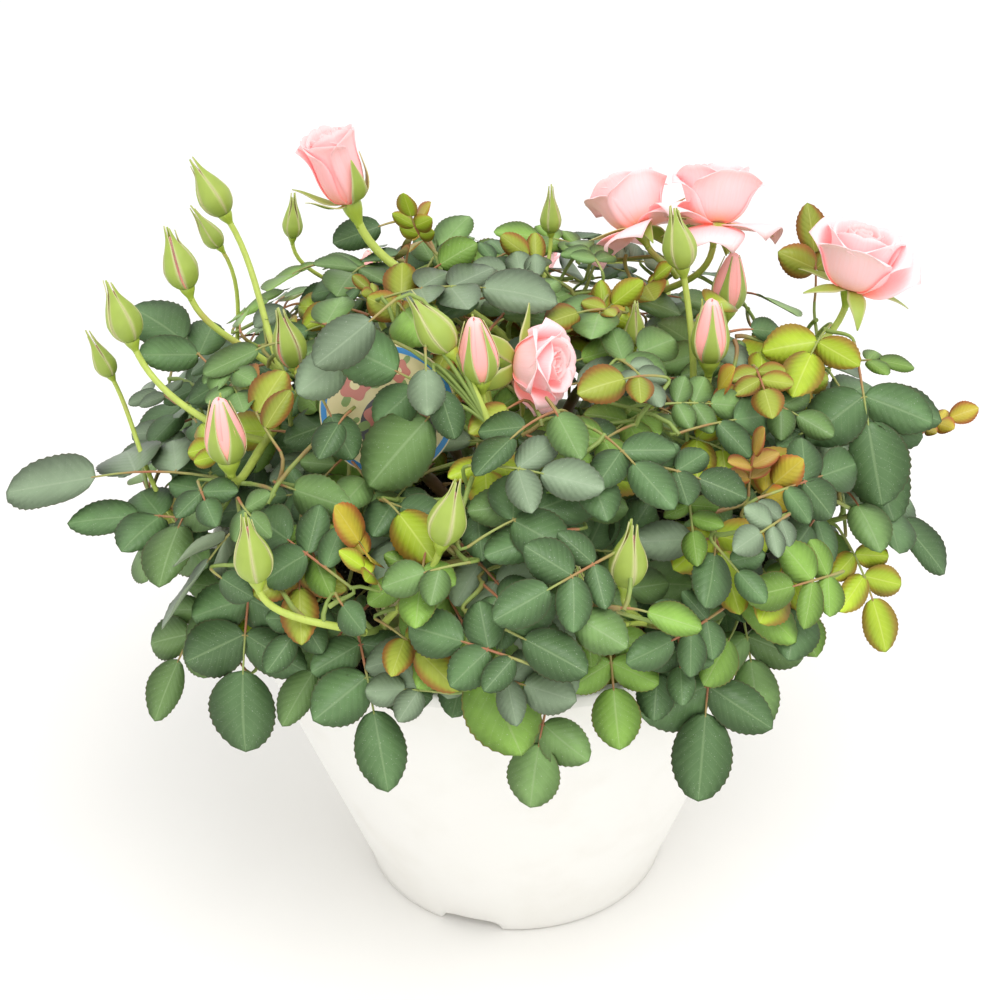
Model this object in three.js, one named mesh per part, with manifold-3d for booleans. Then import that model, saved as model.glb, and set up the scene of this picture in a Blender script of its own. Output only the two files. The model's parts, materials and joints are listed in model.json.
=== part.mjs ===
// A potted miniature rose bush: white flared pot, soil, a plant tag on its stake, a woody crown,
// arching canes and masses of foliage with buds and roses. Millimetres, +Z up, the front is -Y.
import * as THREE from "three";
import { mergeVertices } from "three/addons/utils/BufferGeometryUtils.js";
import Module from "manifold-3d";

const wasm = await Module();
wasm.setup();

// Pot and soil
const pot = {
  rimRadius: 105,
  baseRadius: 55,
  height: 137,
  wall: 3.2,
  floor: 6,
  lipHeight: 5,
  lipStep: 1.1,
  edge: 1.2,
  segments: 40,
  notchCount: 3,
  notchTurn: -18,
  notchWidth: 23,
  notchHeight: 4,
  notchDepth: 11,
};
const soilTop = 118;
const gap = 0.3;

// Plant tag
const tag = {
  radius: 20.5,
  thickness: 1.2,
  centre: [-37, -58, 210],
  tiltBack: 10,
  stakeWidth: 9,
  stakeDepth: 12,
  segments: 24,
};

// Woody crown that the canes grow from
const crown = {
  footRadius: 14,
  flareRadius: 11.2,
  neckRadius: 10,
  topRadius: 5.5,
  height: 25,
  flareHeight: 3,
  neckFrom: 6,
  neckTo: 20,
  sides: 16,
};

// Rings of foliage masses: each heart stands at a reach from the axis and a height
const rings = [
  { name: "top", count: 1, reach: 0, height: 208, firstTurn: 0 },
  { name: "inner", count: 5, reach: 73, height: 188, firstTurn: 0 },
  { name: "outer", count: 8, reach: 118, height: 160, firstTurn: 22.5 },
];
const caneForm = {
  top: { footHeight: 25, fork: [0, 176], radius: 2.6, rise: 1 },
  inner: { footHeight: 17.5, fork: [42, 172], radius: 2.6, rise: 1.1 },
  outer: { footHeight: 9, fork: [90, 152], radius: 2.5, rise: 0.75 },
};
const caneTip = 1.9;
// How far a cane's foot and fork hold their own direction, in shares of its length
const caneHold = { foot: 0.34, fork: 0.3 };

// Canopy: an ellipsoid about its middle, flatter below than above, bare round the canes
const canopy = { centre: [-3, 0, 158], across: 137, deep: 137, above: 76, below: 50 };
const bare = { radius: 46, height: 40, centreHeight: 126 };

// Twigs and leaves
const stemRadius = 1.7;
const twigRadius = 1.15;
const stalkRadius = 1.25;
const rachisRadius = 0.85;
const leafThickness = 1.2;
const leafWidthShare = 0.76;
const widestAt = 0.42;
const leafFold = 0.07;
const leafRoot = 1.6;
const rootRadius = 0.5;
const longTwig = 26;
const stalkSteps = 3;
const stemSteps = 3;
const stemStarts = [0.25, 0.45, 0.65, 0.85, 1];
const twigStarts = [0.2, 0.35, 0.5];
const rachisShare = { 1: 0.45, 3: 1, 5: 1.4, 7: 1.75 };
// A compound leaf's arched rachis, in shares of its reach, and how its pairs of leaflets stand:
// degrees that they open from the rachis, their lean and their lengths
const rachisArch = { footBack: 0.96, footDrop: 0.2, bendAhead: 0.46, bendRise: 0.17 };
const pairForm = { step: 0.3, open: 54, openStep: 7, lean: 0.16, length: 0.98, lengthStep: 0.13 };
// How a twig leaves its limb and turns to its end, in shares
const twigPull = { along: 0.5, ahead: 0.7, hold: 0.33 };
// A mass's stem: how far it holds the cane's direction, how far it ends above the heart, its taper
const stemForm = { hold: 0.5, rise: 4, taper: 0.8 };
const keepOff = 0.6;
// Space left open before the tag, towards the front and above
const outlook = { turn: 4, rise: 26, near: 12, far: 75, radius: 14 };
// How far down a flower's own axis its stalk looks for a limb to leave from
const stalkReach = 38;
const leafSpacing = 9;
const startSpacing = 7;
const finest = 0.05;
const weld = finest / 8;
// Leaflets that each mass gets, and how its leaves are dealt out
const quota = { top: 29, inner: 29, outer: 26 };
const attempts = 4000;
const cellReach = 82;
const shell = { inner: 0.3, outer: 0.95, edge: 2 };
const leafSize = { least: 22, spread: 9, fewerShare: 0.06 };
const leafSwing = 170;
const leafTilt = 50;
// How leaves face and head: shares of upward and outward, from a middle below the canopy's own
const leafAim = { upward: 0.62, outward: 0.5, droop: 0.35, middleBelow: 30 };
// Share of the leaves that have three leaflets, and the share with three or five
const leafKinds = { three: 0.18, five: 0.9 };
const firstSeed = 4021;
const seedStep = 977;

// Blooms and buds: largest radius and height of each kind
const bloomSizes = {
  rose: { radius: 17, height: 28 },
  half: { radius: 10.5, height: 36 },
  pinkBud: { radius: 6, height: 25 },
  bud: { radius: 5.2, height: 23 },
  smallBud: { radius: 3.4, height: 17 },
};

// Flowering shoots: turn from the front (right is positive), reach, height of the bloom's middle,
// lean from upright towards a turn
const flowers = [
  { kind: "half", turn: -100, reach: 54, height: 262, lean: 18, toward: -90 },
  { kind: "rose", turn: 119, reach: 82, height: 239, lean: 10, toward: 0 },
  { kind: "rose", turn: 138, reach: 66, height: 234, lean: 38, toward: -110 },
  { kind: "rose", turn: 90, reach: 113, height: 230, lean: 16, toward: -60 },
  { kind: "rose", turn: 10, reach: 47, height: 219, lean: 62, toward: 95 },
  { kind: "pinkBud", turn: 69, reach: 68, height: 217, lean: 0, toward: 0 },
  { kind: "pinkBud", turn: 111, reach: 82, height: 212, lean: 5, toward: 90 },
  { kind: "pinkBud", turn: -53, reach: 107, height: 205, lean: 3, toward: -90 },
  { kind: "bud", turn: -104, reach: 100, height: 251, lean: 26, toward: -90 },
  { kind: "smallBud", turn: -114, reach: 113, height: 230, lean: 30, toward: -90 },
  { kind: "bud", turn: -82, reach: 104, height: 241, lean: 12, toward: -90 },
  { kind: "bud", turn: -78, reach: 123, height: 228, lean: 14, toward: -90 },
  { kind: "smallBud", turn: -86, reach: 133, height: 207, lean: 20, toward: -90 },
  { kind: "smallBud", turn: -128, reach: 96, height: 229, lean: 5, toward: 90 },
  { kind: "smallBud", turn: 159, reach: 43, height: 236, lean: 0, toward: 0 },
  { kind: "bud", turn: 85, reach: 55, height: 241, lean: 10, toward: -90 },
  { kind: "bud", turn: -20, reach: 64, height: 237, lean: 34, toward: -100 },
  { kind: "pinkBud", turn: -9, reach: 61, height: 228, lean: 8, toward: -30 },
  { kind: "bud", turn: -74, reach: 73, height: 216, lean: 10, toward: -90 },
  { kind: "bud", turn: -10, reach: 107, height: 199, lean: 14, toward: 80 },
  { kind: "bud", turn: -34, reach: 131, height: 190, lean: 4, toward: -90 },
  { kind: "bud", turn: 17, reach: 110, height: 184, lean: 6, toward: 60 },
  { kind: "smallBud", turn: 11, reach: 104, height: 172, lean: 14, toward: -80 },
  { kind: "smallBud", turn: 76, reach: 42, height: 215, lean: 4, toward: 0 },
  { kind: "rose", turn: 176, reach: 122, height: 184, lean: 40, toward: 176 },
  { kind: "bud", turn: 152, reach: 128, height: 178, lean: 24, toward: 152 },
  { kind: "pinkBud", turn: -154, reach: 118, height: 186, lean: 18, toward: -154 },
];

// Leaf sprays that stand out of the canopy: place of the end leaflet's foot, its heading, its droop
// below level, how many leaflets, the end leaflet's length and, where it is turned on edge, a roll
const sprays = [
  { turn: -74, reach: 138, height: 179, heading: -100, droop: 14, leaflets: 5, size: 33, roll: 0 },
  { turn: -67, reach: 128, height: 171, heading: -90, droop: 2, leaflets: 3, size: 23, roll: 0 },
  { turn: -49, reach: 121, height: 172, heading: -62, droop: 48, leaflets: 3, size: 26, roll: 60 },
  { turn: -85, reach: 106, height: 213, heading: -125, droop: -24, leaflets: 3, size: 24, roll: 0 },
  { turn: -150, reach: 46, height: 225, heading: 137, droop: -34, leaflets: 3, size: 17, roll: 0 },
  { turn: -133, reach: 42, height: 236, heading: 60, droop: -62, leaflets: 5, size: 12, roll: 0 },
  { turn: -22, reach: 22, height: 234, heading: 78, droop: 2, leaflets: 5, size: 24, roll: 0 },
  { turn: 101, reach: 105, height: 228, heading: -160, droop: -70, leaflets: 3, size: 17, roll: 0 },
  { turn: 167, reach: 51, height: 225, heading: -90, droop: -8, leaflets: 5, size: 16, roll: 0 },
  { turn: 83, reach: 119, height: 189, heading: 75, droop: 4, leaflets: 5, size: 24, roll: 0 },
  { turn: 80, reach: 118, height: 178, heading: 22, droop: 44, leaflets: 3, size: 29, roll: 0 },
  { turn: 99, reach: 130, height: 188, heading: 90, droop: 8, leaflets: 3, size: 13, roll: 0 },
  { turn: 75, reach: 132, height: 155, heading: 71, droop: 44, leaflets: 3, size: 24, roll: 0 },
  { turn: 62, reach: 129, height: 142, heading: 34, droop: 58, leaflets: 5, size: 18, roll: 0 },
  { turn: 75, reach: 99, height: 212, heading: -26, droop: 16, leaflets: 3, size: 21, roll: 0 },
  { turn: 88, reach: 148, height: 178, heading: 84, droop: -26, leaflets: 5, size: 10, roll: 0 },
  { turn: -41, reach: 125, height: 142, heading: -10, droop: 66, leaflets: 5, size: 26, roll: 0 },
  { turn: -56, reach: 128, height: 131, heading: -40, droop: 50, leaflets: 5, size: 21, roll: 0 },
  { turn: -20, reach: 122, height: 141, heading: 16, droop: 52, leaflets: 5, size: 24, roll: 0 },
  { turn: -5, reach: 112, height: 154, heading: 30, droop: 40, leaflets: 5, size: 28, roll: 0 },
  { turn: 3, reach: 119, height: 131, heading: -24, droop: 64, leaflets: 3, size: 20, roll: 0 },
  { turn: 14, reach: 116, height: 146, heading: 4, droop: 46, leaflets: 5, size: 18, roll: 0 },
  { turn: 29, reach: 117, height: 129, heading: -12, droop: 62, leaflets: 3, size: 27, roll: 0 },
  { turn: 40, reach: 112, height: 137, heading: 14, droop: 60, leaflets: 3, size: 23, roll: 0 },
  { turn: 49, reach: 113, height: 147, heading: 30, droop: 34, leaflets: 5, size: 17, roll: 0 },
  { turn: -32, reach: 114, height: 143, heading: -44, droop: 40, leaflets: 5, size: 19, roll: 0 },
  { turn: -25, reach: 105, height: 186, heading: -60, droop: -64, leaflets: 3, size: 16, roll: 0 },
  { turn: -33, reach: 115, height: 172, heading: 4, droop: 30, leaflets: 3, size: 18, roll: 0 },
  { turn: -14, reach: 117, height: 161, heading: 50, droop: 26, leaflets: 3, size: 17, roll: 0 },
  { turn: -6, reach: 76, height: 198, heading: 0, droop: 8, leaflets: 3, size: 15, roll: 0 },
  { turn: 35, reach: 106, height: 176, heading: 16, droop: 36, leaflets: 3, size: 20, roll: 0 },
  { turn: -72, reach: 36, height: 226, heading: 178, droop: -44, leaflets: 3, size: 15, roll: 0 },
  { turn: 58, reach: 76, height: 206, heading: 30, droop: -60, leaflets: 5, size: 12, roll: 0 },
];

const degrees = Math.PI / 180;
const up = new THREE.Vector3(0, 0, 1);

// A point from its turn about the axis, its reach and its height
function place(turn, reach, height) {
  return new THREE.Vector3(
    reach * Math.sin(turn * degrees),
    -reach * Math.cos(turn * degrees),
    height,
  );
}

// A unit vector that heads towards a turn and droops below level
function bearing(turn, droop) {
  const level = Math.cos(droop * degrees);
  return new THREE.Vector3(
    level * Math.sin(turn * degrees),
    -level * Math.cos(turn * degrees),
    -Math.sin(droop * degrees),
  );
}

// Repeatable random numbers from 0 to 1
function seededDraws(seed) {
  let state = seed;
  return () => {
    state = (state * 1664525 + 1013904223) % 4294967296;
    return state / 4294967296;
  };
}

function blend(a, shareA, b, shareB) {
  return a.clone().multiplyScalar(shareA).addScaledVector(b, shareB);
}

// The part of a vector that is square to a unit vector, as a unit vector
function squareTo(vector, axis) {
  return vector.clone().addScaledVector(axis, -vector.dot(axis)).normalize();
}

// Closed surface between rings of points that all have the same count
function ringSurface(ringPoints) {
  const sides = ringPoints[0].length;
  const corners = [];
  const faces = [];
  ringPoints.forEach((ring) => ring.forEach((p) => corners.push(p.x, p.y, p.z)));
  for (let i = 0; i + 1 < ringPoints.length; i += 1) {
    for (let j = 0; j < sides; j += 1) {
      const a = i * sides + j;
      const b = i * sides + ((j + 1) % sides);
      faces.push(a, b, b + sides, a, b + sides, a + sides);
    }
  }
  const last = (ringPoints.length - 1) * sides;
  for (let j = 1; j + 1 < sides; j += 1) {
    faces.push(0, j + 1, j, last, last + j, last + j + 1);
  }
  return bufferOf(corners, faces);
}

function bufferOf(corners, faces) {
  const geometry = new THREE.BufferGeometry();
  geometry.setAttribute("position", new THREE.Float32BufferAttribute(corners, 3));
  geometry.setIndex(faces);
  return geometry;
}

// A limb through points, with a radius at each
function limb(points, radii, sides) {
  const rows = [];
  let side = new THREE.Vector3(0.31, 0.83, 0.46);
  points.forEach((centre, i) => {
    const before = points[Math.max(0, i - 1)];
    const after = points[Math.min(points.length - 1, i + 1)];
    const along = after.clone().sub(before).normalize();
    side = squareTo(side, along);
    const other = along.clone().cross(side);
    const row = [];
    for (let j = 0; j < sides; j += 1) {
      const angle = (2 * Math.PI * j) / sides;
      row.push(
        centre
          .clone()
          .addScaledVector(side, radii[i] * Math.cos(angle))
          .addScaledVector(other, radii[i] * Math.sin(angle)),
      );
    }
    rows.push(row);
  });
  return ringSurface(rows);
}

// Radii that taper evenly over a number of points
function taper(from, to, count) {
  return Array.from({ length: count }, (_, i) => from + ((to - from) * i) / (count - 1));
}

// A solid for joining and cutting
function solidOf(geometry, reach = 1e-4) {
  const bareGeometry = geometry.clone();
  bareGeometry.deleteAttribute("normal");
  bareGeometry.deleteAttribute("uv");
  const merged = mergeVertices(bareGeometry, reach);
  return new wasm.Manifold(
    new wasm.Mesh({
      numProp: 3,
      vertProperties: new Float32Array(merged.attributes.position.array),
      triVerts: new Uint32Array(merged.index.array),
    }),
  );
}

function geometryOf(solid) {
  const mesh = solid.getMesh();
  return bufferOf(Array.from(mesh.vertProperties), Array.from(mesh.triVerts));
}

// Lathe about +Z from [radius, height] pairs that start and end on the axis
function turned(profile, segments) {
  const points = profile.map(([radius, height]) => new THREE.Vector2(radius, height));
  return new THREE.LatheGeometry(points, segments).rotateX(Math.PI / 2);
}

function boxAt(width, depth, height, x, y, z, turn) {
  return new THREE.BoxGeometry(width, depth, height).translate(x, y, z).rotateZ(turn);
}

const group = new THREE.Group();

function addMesh(name, geometry, color, roughness) {
  const material = new THREE.MeshStandardMaterial({ color, roughness, metalness: 0 });
  const mesh = new THREE.Mesh(geometry, material);
  mesh.name = name;
  group.add(mesh);
  return mesh;
}

// The pot's outer and inner radius at a height
const slope = (pot.rimRadius - pot.lipStep - pot.baseRadius) / pot.height;
function potOuter(height) {
  return pot.baseRadius + slope * height;
}
function potInner(height) {
  return potOuter(height) - pot.wall;
}

function makePot() {
  const profile = [
    [0, 0],
    [pot.baseRadius - pot.edge, 0],
    [potOuter(pot.edge), pot.edge],
    [potOuter(pot.height - pot.lipHeight), pot.height - pot.lipHeight],
    [pot.rimRadius, pot.height - pot.lipHeight + pot.edge],
    [pot.rimRadius, pot.height - pot.edge],
    [pot.rimRadius - pot.edge, pot.height],
    [potInner(pot.height), pot.height],
    [potInner(pot.floor), pot.floor],
    [0, pot.floor],
  ];
  let solid = solidOf(turned(profile, pot.segments));
  for (let i = 0; i < pot.notchCount; i += 1) {
    const turn = (pot.notchTurn + (360 / pot.notchCount) * i) * degrees;
    const y = -pot.baseRadius;
    const cut = boxAt(pot.notchWidth, 2 * pot.notchDepth, 2 * pot.notchHeight, 0, y, 0, turn);
    solid = solid.subtract(solidOf(cut));
  }
  addMesh("pot", geometryOf(solid), 0xf2f2f0, 0.45);
}

// The tag's frame: its disc leans back and its stake runs down along the disc's own slope
const tagCentre = new THREE.Vector3(...tag.centre);
const tagUp = new THREE.Vector3(
  0,
  Math.sin(tag.tiltBack * degrees),
  Math.cos(tag.tiltBack * degrees),
);
const stakeLength = (tag.centre[2] - soilTop + tag.stakeDepth) / tagUp.z;

function makeStake(grow) {
  const width = tag.stakeWidth + 2 * grow;
  const length = stakeLength + grow;
  return new THREE.BoxGeometry(width, tag.thickness + 2 * grow, length)
    .translate(0, 0, -length / 2)
    .rotateX(-tag.tiltBack * degrees)
    .translate(tag.centre[0], tag.centre[1], tag.centre[2]);
}

function makeTag() {
  const disc = new THREE.CylinderGeometry(tag.radius, tag.radius, tag.thickness, tag.segments)
    .rotateX(-tag.tiltBack * degrees)
    .translate(tag.centre[0], tag.centre[1], tag.centre[2]);
  const solid = solidOf(disc).add(solidOf(makeStake(0)));
  addMesh("plant_tag", geometryOf(solid), 0x8fd0ee, 0.4);
}

function makeSoil() {
  const profile = [
    [0, pot.floor + gap],
    [potInner(pot.floor) - 2 * gap, pot.floor + gap],
    [potInner(soilTop) - gap, soilTop],
    [0, soilTop],
  ];
  const solid = solidOf(turned(profile, pot.segments)).subtract(solidOf(makeStake(gap)));
  addMesh("soil", geometryOf(solid), 0x3a2f26, 0.95);
}

function makeCrown() {
  const foot = soilTop + gap;
  const profile = [
    [0, foot],
    [crown.footRadius, foot],
    [crown.flareRadius, foot + crown.flareHeight],
    [crown.neckRadius, foot + crown.neckFrom],
    [crown.neckRadius, foot + crown.neckTo],
    [crown.topRadius, foot + crown.height],
    [0, foot + crown.height],
  ];
  addMesh("crown_stem", turned(profile, crown.sides), 0x6b5138, 0.85);
}

// Masses: a heart each, the cane that carries it and the stem that goes on from the cane
function layOut() {
  const masses = [];
  rings.forEach((ring) => {
    for (let i = 0; i < ring.count; i += 1) {
      const turn = ring.firstTurn + (360 / ring.count) * i;
      const form = caneForm[ring.name];
      const suffix = ring.count > 1 ? ring.name + "_" + (i + 1) : ring.name;
      const heart = place(turn, ring.reach, ring.height);
      const fork = place(turn, form.fork[0], form.fork[1]);
      const out = heart.clone().sub(fork).normalize();
      const climb = bearing(turn, -90 * form.rise + 45);
      if (ring.count === 1) climb.copy(up);
      const footHeight = soilTop + gap + form.footHeight;
      const footReach = ring.count === 1 ? 0 : crown.neckRadius + gap + form.radius * climb.z;
      const foot = place(turn, footReach, footHeight);
      if (ring.count === 1) foot.z += gap;
      const span = fork.distanceTo(foot);
      const cane = new THREE.CubicBezierCurve3(
        foot,
        foot.clone().addScaledVector(climb, span * caneHold.foot),
        fork.clone().addScaledVector(out, -span * caneHold.fork),
        fork,
      );
      masses.push({ ring: ring.name, suffix, heart, fork, out, cane, radius: form.radius });
    }
  });
  return masses;
}

const masses = layOut();
const caneSteps = 8;
const limbs = [];
const leaves = [];
const blooms = [];

function addLimb(curve, radius, owner, steps) {
  let from = curve.getPoint(0);
  for (let i = 1; i <= steps; i += 1) {
    const to = curve.getPoint(i / steps);
    limbs.push({ from, to, radius, owner });
    from = to;
  }
}

// Nearest distance between two straight stretches
function stretchDistance(p, q, r, s) {
  const d1 = q.clone().sub(p);
  const d2 = s.clone().sub(r);
  const w = p.clone().sub(r);
  const a = d1.dot(d1);
  const e = d2.dot(d2);
  const f = d2.dot(w);
  const b = d1.dot(d2);
  const c = d1.dot(w);
  const both = a * e - b * b;
  let m = both > 1e-9 ? Math.min(1, Math.max(0, (b * f - c * e) / both)) : 0;
  let n = (b * m + f) / e;
  if (n < 0) {
    n = 0;
    m = Math.min(1, Math.max(0, -c / a));
  } else if (n > 1) {
    n = 1;
    m = Math.min(1, Math.max(0, (b - c) / a));
  }
  return p.clone().addScaledVector(d1, m).distanceTo(r.clone().addScaledVector(d2, n));
}

// How far a point is inside a mass's own space: the smallest distance to the planes half way
// between its heart and the other hearts
function insideOwn(point, index) {
  let least = Infinity;
  masses.forEach((other, i) => {
    if (i === index) return;
    const away = masses[index].heart.clone().sub(other.heart);
    const middle = masses[index].heart.clone().add(other.heart).multiplyScalar(0.5);
    least = Math.min(least, point.clone().sub(middle).dot(away) / away.length());
  });
  return least;
}

function canopyLevel(point) {
  const x = (point.x - canopy.centre[0]) / canopy.across;
  const y = (point.y - canopy.centre[1]) / canopy.deep;
  const rise = point.z - canopy.centre[2];
  const z = rise / (rise > 0 ? canopy.above : canopy.below);
  return x * x + y * y + z * z;
}

function isBare(point) {
  const reach = Math.hypot(point.x, point.y) / bare.radius;
  const rise = (point.z - bare.centreHeight) / bare.height;
  return reach * reach + rise * rise < 1;
}

function clearOfPot(point, margin) {
  if (point.z > pot.height + margin) return true;
  const reach = Math.hypot(point.x, point.y);
  if (reach > potOuter(point.z) + pot.lipStep + margin) return true;
  return reach < potInner(point.z) - margin && point.z > soilTop + margin;
}

// Points spread over a leaflet
function leafPoints(leaf) {
  const points = [];
  const side = leaf.along.clone().cross(leaf.face);
  for (let i = 0; i <= 6; i += 1) {
    const t = i / 6;
    const half = t < widestAt ? t / widestAt : (1 - t) / (1 - widestAt);
    const middle = leaf.base.clone().addScaledVector(leaf.along, leaf.length * t);
    points.push(middle);
    [-0.5, 0.5].forEach((share) => {
      points.push(middle.clone().addScaledVector(side, share * leaf.width * half));
    });
  }
  return points;
}

// True where a straight stretch goes through a triangle
function pierces(from, to, a, b, c) {
  const ray = to.clone().sub(from);
  const ab = b.clone().sub(a);
  const ac = c.clone().sub(a);
  const cross = ray.clone().cross(ac);
  const size = ab.dot(cross);
  if (Math.abs(size) < 1e-9) return false;
  const offset = from.clone().sub(a);
  const u = offset.dot(cross) / size;
  const turnedOffset = offset.cross(ab);
  const v = ray.dot(turnedOffset) / size;
  const t = ac.dot(turnedOffset) / size;
  return u >= 0 && v >= 0 && u + v <= 1 && t >= 0 && t <= 1;
}

function leafOutline(leaf) {
  const side = leaf.along.clone().cross(leaf.face);
  const widest = leaf.base
    .clone()
    .addScaledVector(leaf.along, leaf.length * widestAt)
    .addScaledVector(leaf.face, leaf.width * leafFold);
  return [
    leaf.base,
    widest.clone().addScaledVector(side, leaf.width / 2),
    leafTip(leaf),
    widest.clone().addScaledVector(side, -leaf.width / 2),
  ];
}

function piercesLeaf(from, to, outline) {
  const [base, right, tip, left] = outline;
  return pierces(from, to, base, right, tip) || pierces(from, to, base, tip, left);
}

function leavesCross(one, other) {
  for (let i = 0; i < 4; i += 1) {
    const next = (i + 1) % 4;
    if (piercesLeaf(one[i], one[next], other)) return true;
    if (piercesLeaf(other[i], other[next], one)) return true;
  }
  return false;
}

function leafMiddle(leaf) {
  return leaf.base.clone().addScaledVector(leaf.along, leaf.length / 2);
}

function leafTip(leaf) {
  return leaf.base.clone().addScaledVector(leaf.along, leaf.length);
}

function leafFits(leaf, index) {
  const middle = leafMiddle(leaf);
  const tip = leafTip(leaf);
  for (const point of leafPoints(leaf)) {
    if (insideOwn(point, index) < keepOff + leafThickness / 2) return false;
    if (!clearOfPot(point, 2)) return false;
    if (canopyLevel(point) > 1 || isBare(point)) return false;
  }
  const outline = leafOutline(leaf);
  for (const other of limbs) {
    if (other.owner === index) {
      if (piercesLeaf(other.from, other.to, outline)) return false;
      continue;
    }
    const least = other.radius + leaf.width / 2 + keepOff;
    if (stretchDistance(leaf.base, tip, other.from, other.to) < least) return false;
  }
  for (const bloom of blooms) {
    if (bloom.centre.distanceTo(middle) < bloom.radius + leaf.width / 2 + keepOff) return false;
  }
  for (const other of leaves) {
    const apart = middle.distanceTo(other.middle);
    if (other.owner !== index && apart < (leaf.length + other.length) / 2) return false;
    if (apart < leafSpacing) return false;
    const near = (leaf.length + other.length) / 2;
    if (apart < near && leavesCross(outline, other.outline)) return false;
  }
  return true;
}

function curveFits(curve, radius, index) {
  const steps = Math.max(2, Math.ceil(curve.getLength() / 5));
  for (let i = 1; i <= steps; i += 1) {
    const point = curve.getPoint(i / steps);
    if (insideOwn(point, index) < keepOff + radius) return false;
    if (!clearOfPot(point, 1 + radius)) return false;
    if (canopyLevel(point) > 1) return false;
    const from = curve.getPoint((i - 1) / steps);
    for (const other of limbs) {
      if (other.owner === index) continue;
      const least = other.radius + radius + keepOff;
      if (stretchDistance(from, point, other.from, other.to) < least) return false;
    }
    for (const leaf of leaves) {
      if (leaf.middle.distanceTo(point) > leaf.length) continue;
      if (piercesLeaf(from, point, leaf.outline)) return false;
    }
  }
  return true;
}

// A compound leaf: its rachis ends at a point, and leaflets stand along it in pairs
function makeSpray(end, heading, faceHint, count, size) {
  const face = squareTo(faceHint, heading);
  const reach = size * rachisShare[count];
  const start = end
    .clone()
    .addScaledVector(heading, -reach * rachisArch.footBack)
    .addScaledVector(face, -reach * rachisArch.footDrop);
  const bend = start
    .clone()
    .addScaledVector(heading, reach * rachisArch.bendAhead)
    .addScaledVector(face, reach * rachisArch.bendRise);
  const rachis = [start, bend, end];
  const leaflets = [leafletAt(end, heading, face, size, 0, 0)];
  for (let pair = 1; pair <= (count - 1) / 2; pair += 1) {
    const t = 2 * (1 - pairForm.step * pair);
    const from = rachis[Math.floor(t)];
    const to = rachis[Math.floor(t) + 1];
    const foot = from.clone().lerp(to, t - Math.floor(t));
    const along = to.clone().sub(from).normalize();
    const side = squareTo(along.clone().cross(face), along);
    [1, -1].forEach((hand) => {
      const open = (pairForm.open + pairForm.openStep * pair) * degrees;
      const way = blend(along, Math.cos(open), side, hand * Math.sin(open));
      const lean = squareTo(blend(face, 1, side, hand * pairForm.lean), way);
      const length = size * (pairForm.length - pairForm.lengthStep * pair);
      const leaflet = leafletAt(foot, way, lean, length, pair, hand);
      leaflets.push({ ...leaflet, rachisWay: along });
    });
  }
  return { rachis, face, leaflets };
}

function leafletAt(base, along, face, length, pair, hand) {
  return { base, along, face, length, width: length * leafWidthShare, pair, hand };
}

// Where a new twig can start: points on the stem and on the twigs already there
function nearestStart(starts, target) {
  let best = null;
  let least = Infinity;
  starts.forEach((start) => {
    const apart = start.point.distanceTo(target);
    if (apart > startSpacing && apart < least) {
      least = apart;
      best = start;
    }
  });
  return best;
}

function twigCurve(start, target, arrive) {
  const span = start.point.distanceTo(target);
  const towards = target.clone().sub(start.point).normalize();
  const leave = blend(start.along, twigPull.along, towards, twigPull.ahead).normalize();
  return new THREE.CubicBezierCurve3(
    start.point,
    start.point.clone().addScaledVector(leave, span * twigPull.hold),
    target.clone().addScaledVector(arrive, -span * twigPull.hold),
    target,
  );
}

function ownerOf(point) {
  let best = 0;
  masses.forEach((mass, i) => {
    if (mass.heart.distanceTo(point) < masses[best].heart.distanceTo(point)) best = i;
  });
  return best;
}

function growStem(mass, index) {
  const span = mass.fork.distanceTo(mass.heart);
  const foot = mass.fork.clone().addScaledVector(mass.out, gap);
  mass.stem = new THREE.QuadraticBezierCurve3(
    foot,
    foot.clone().addScaledVector(mass.out, span * stemForm.hold),
    mass.heart.clone().addScaledVector(up, stemForm.rise),
  );
  const points = mass.stem.getPoints(stemSteps);
  mass.pieces = [limb(points, taper(caneTip, stemRadius * stemForm.taper, points.length), 5)];
  mass.leafletCount = 0;
  mass.starts = stemStarts.map((share) => startAt(points, share));
  addLimb(mass.stem, stemRadius, index, stemSteps);
}

// Where twigs can start on a limb: a share of the way along its straight stretches
function startAt(points, share) {
  const stretch = Math.min(points.length - 2, Math.floor(share * (points.length - 1)));
  const from = points[stretch];
  const to = points[stretch + 1];
  const along = to.clone().sub(from).normalize();
  return { point: from.clone().lerp(to, share * (points.length - 1) - stretch), along };
}

// Notes a twig as a limb that others keep clear of, and as a place where more twigs can start. No other
// twig leaves from the place that it left from
function noteTwig(mass, index, start, points, radius) {
  mass.starts = mass.starts.filter((other) => other !== start);
  for (let i = 1; i < points.length; i += 1) {
    limbs.push({ from: points[i - 1], to: points[i], radius, owner: index });
  }
  twigStarts.forEach((share) => mass.starts.push(startAt(points, share)));
}

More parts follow.
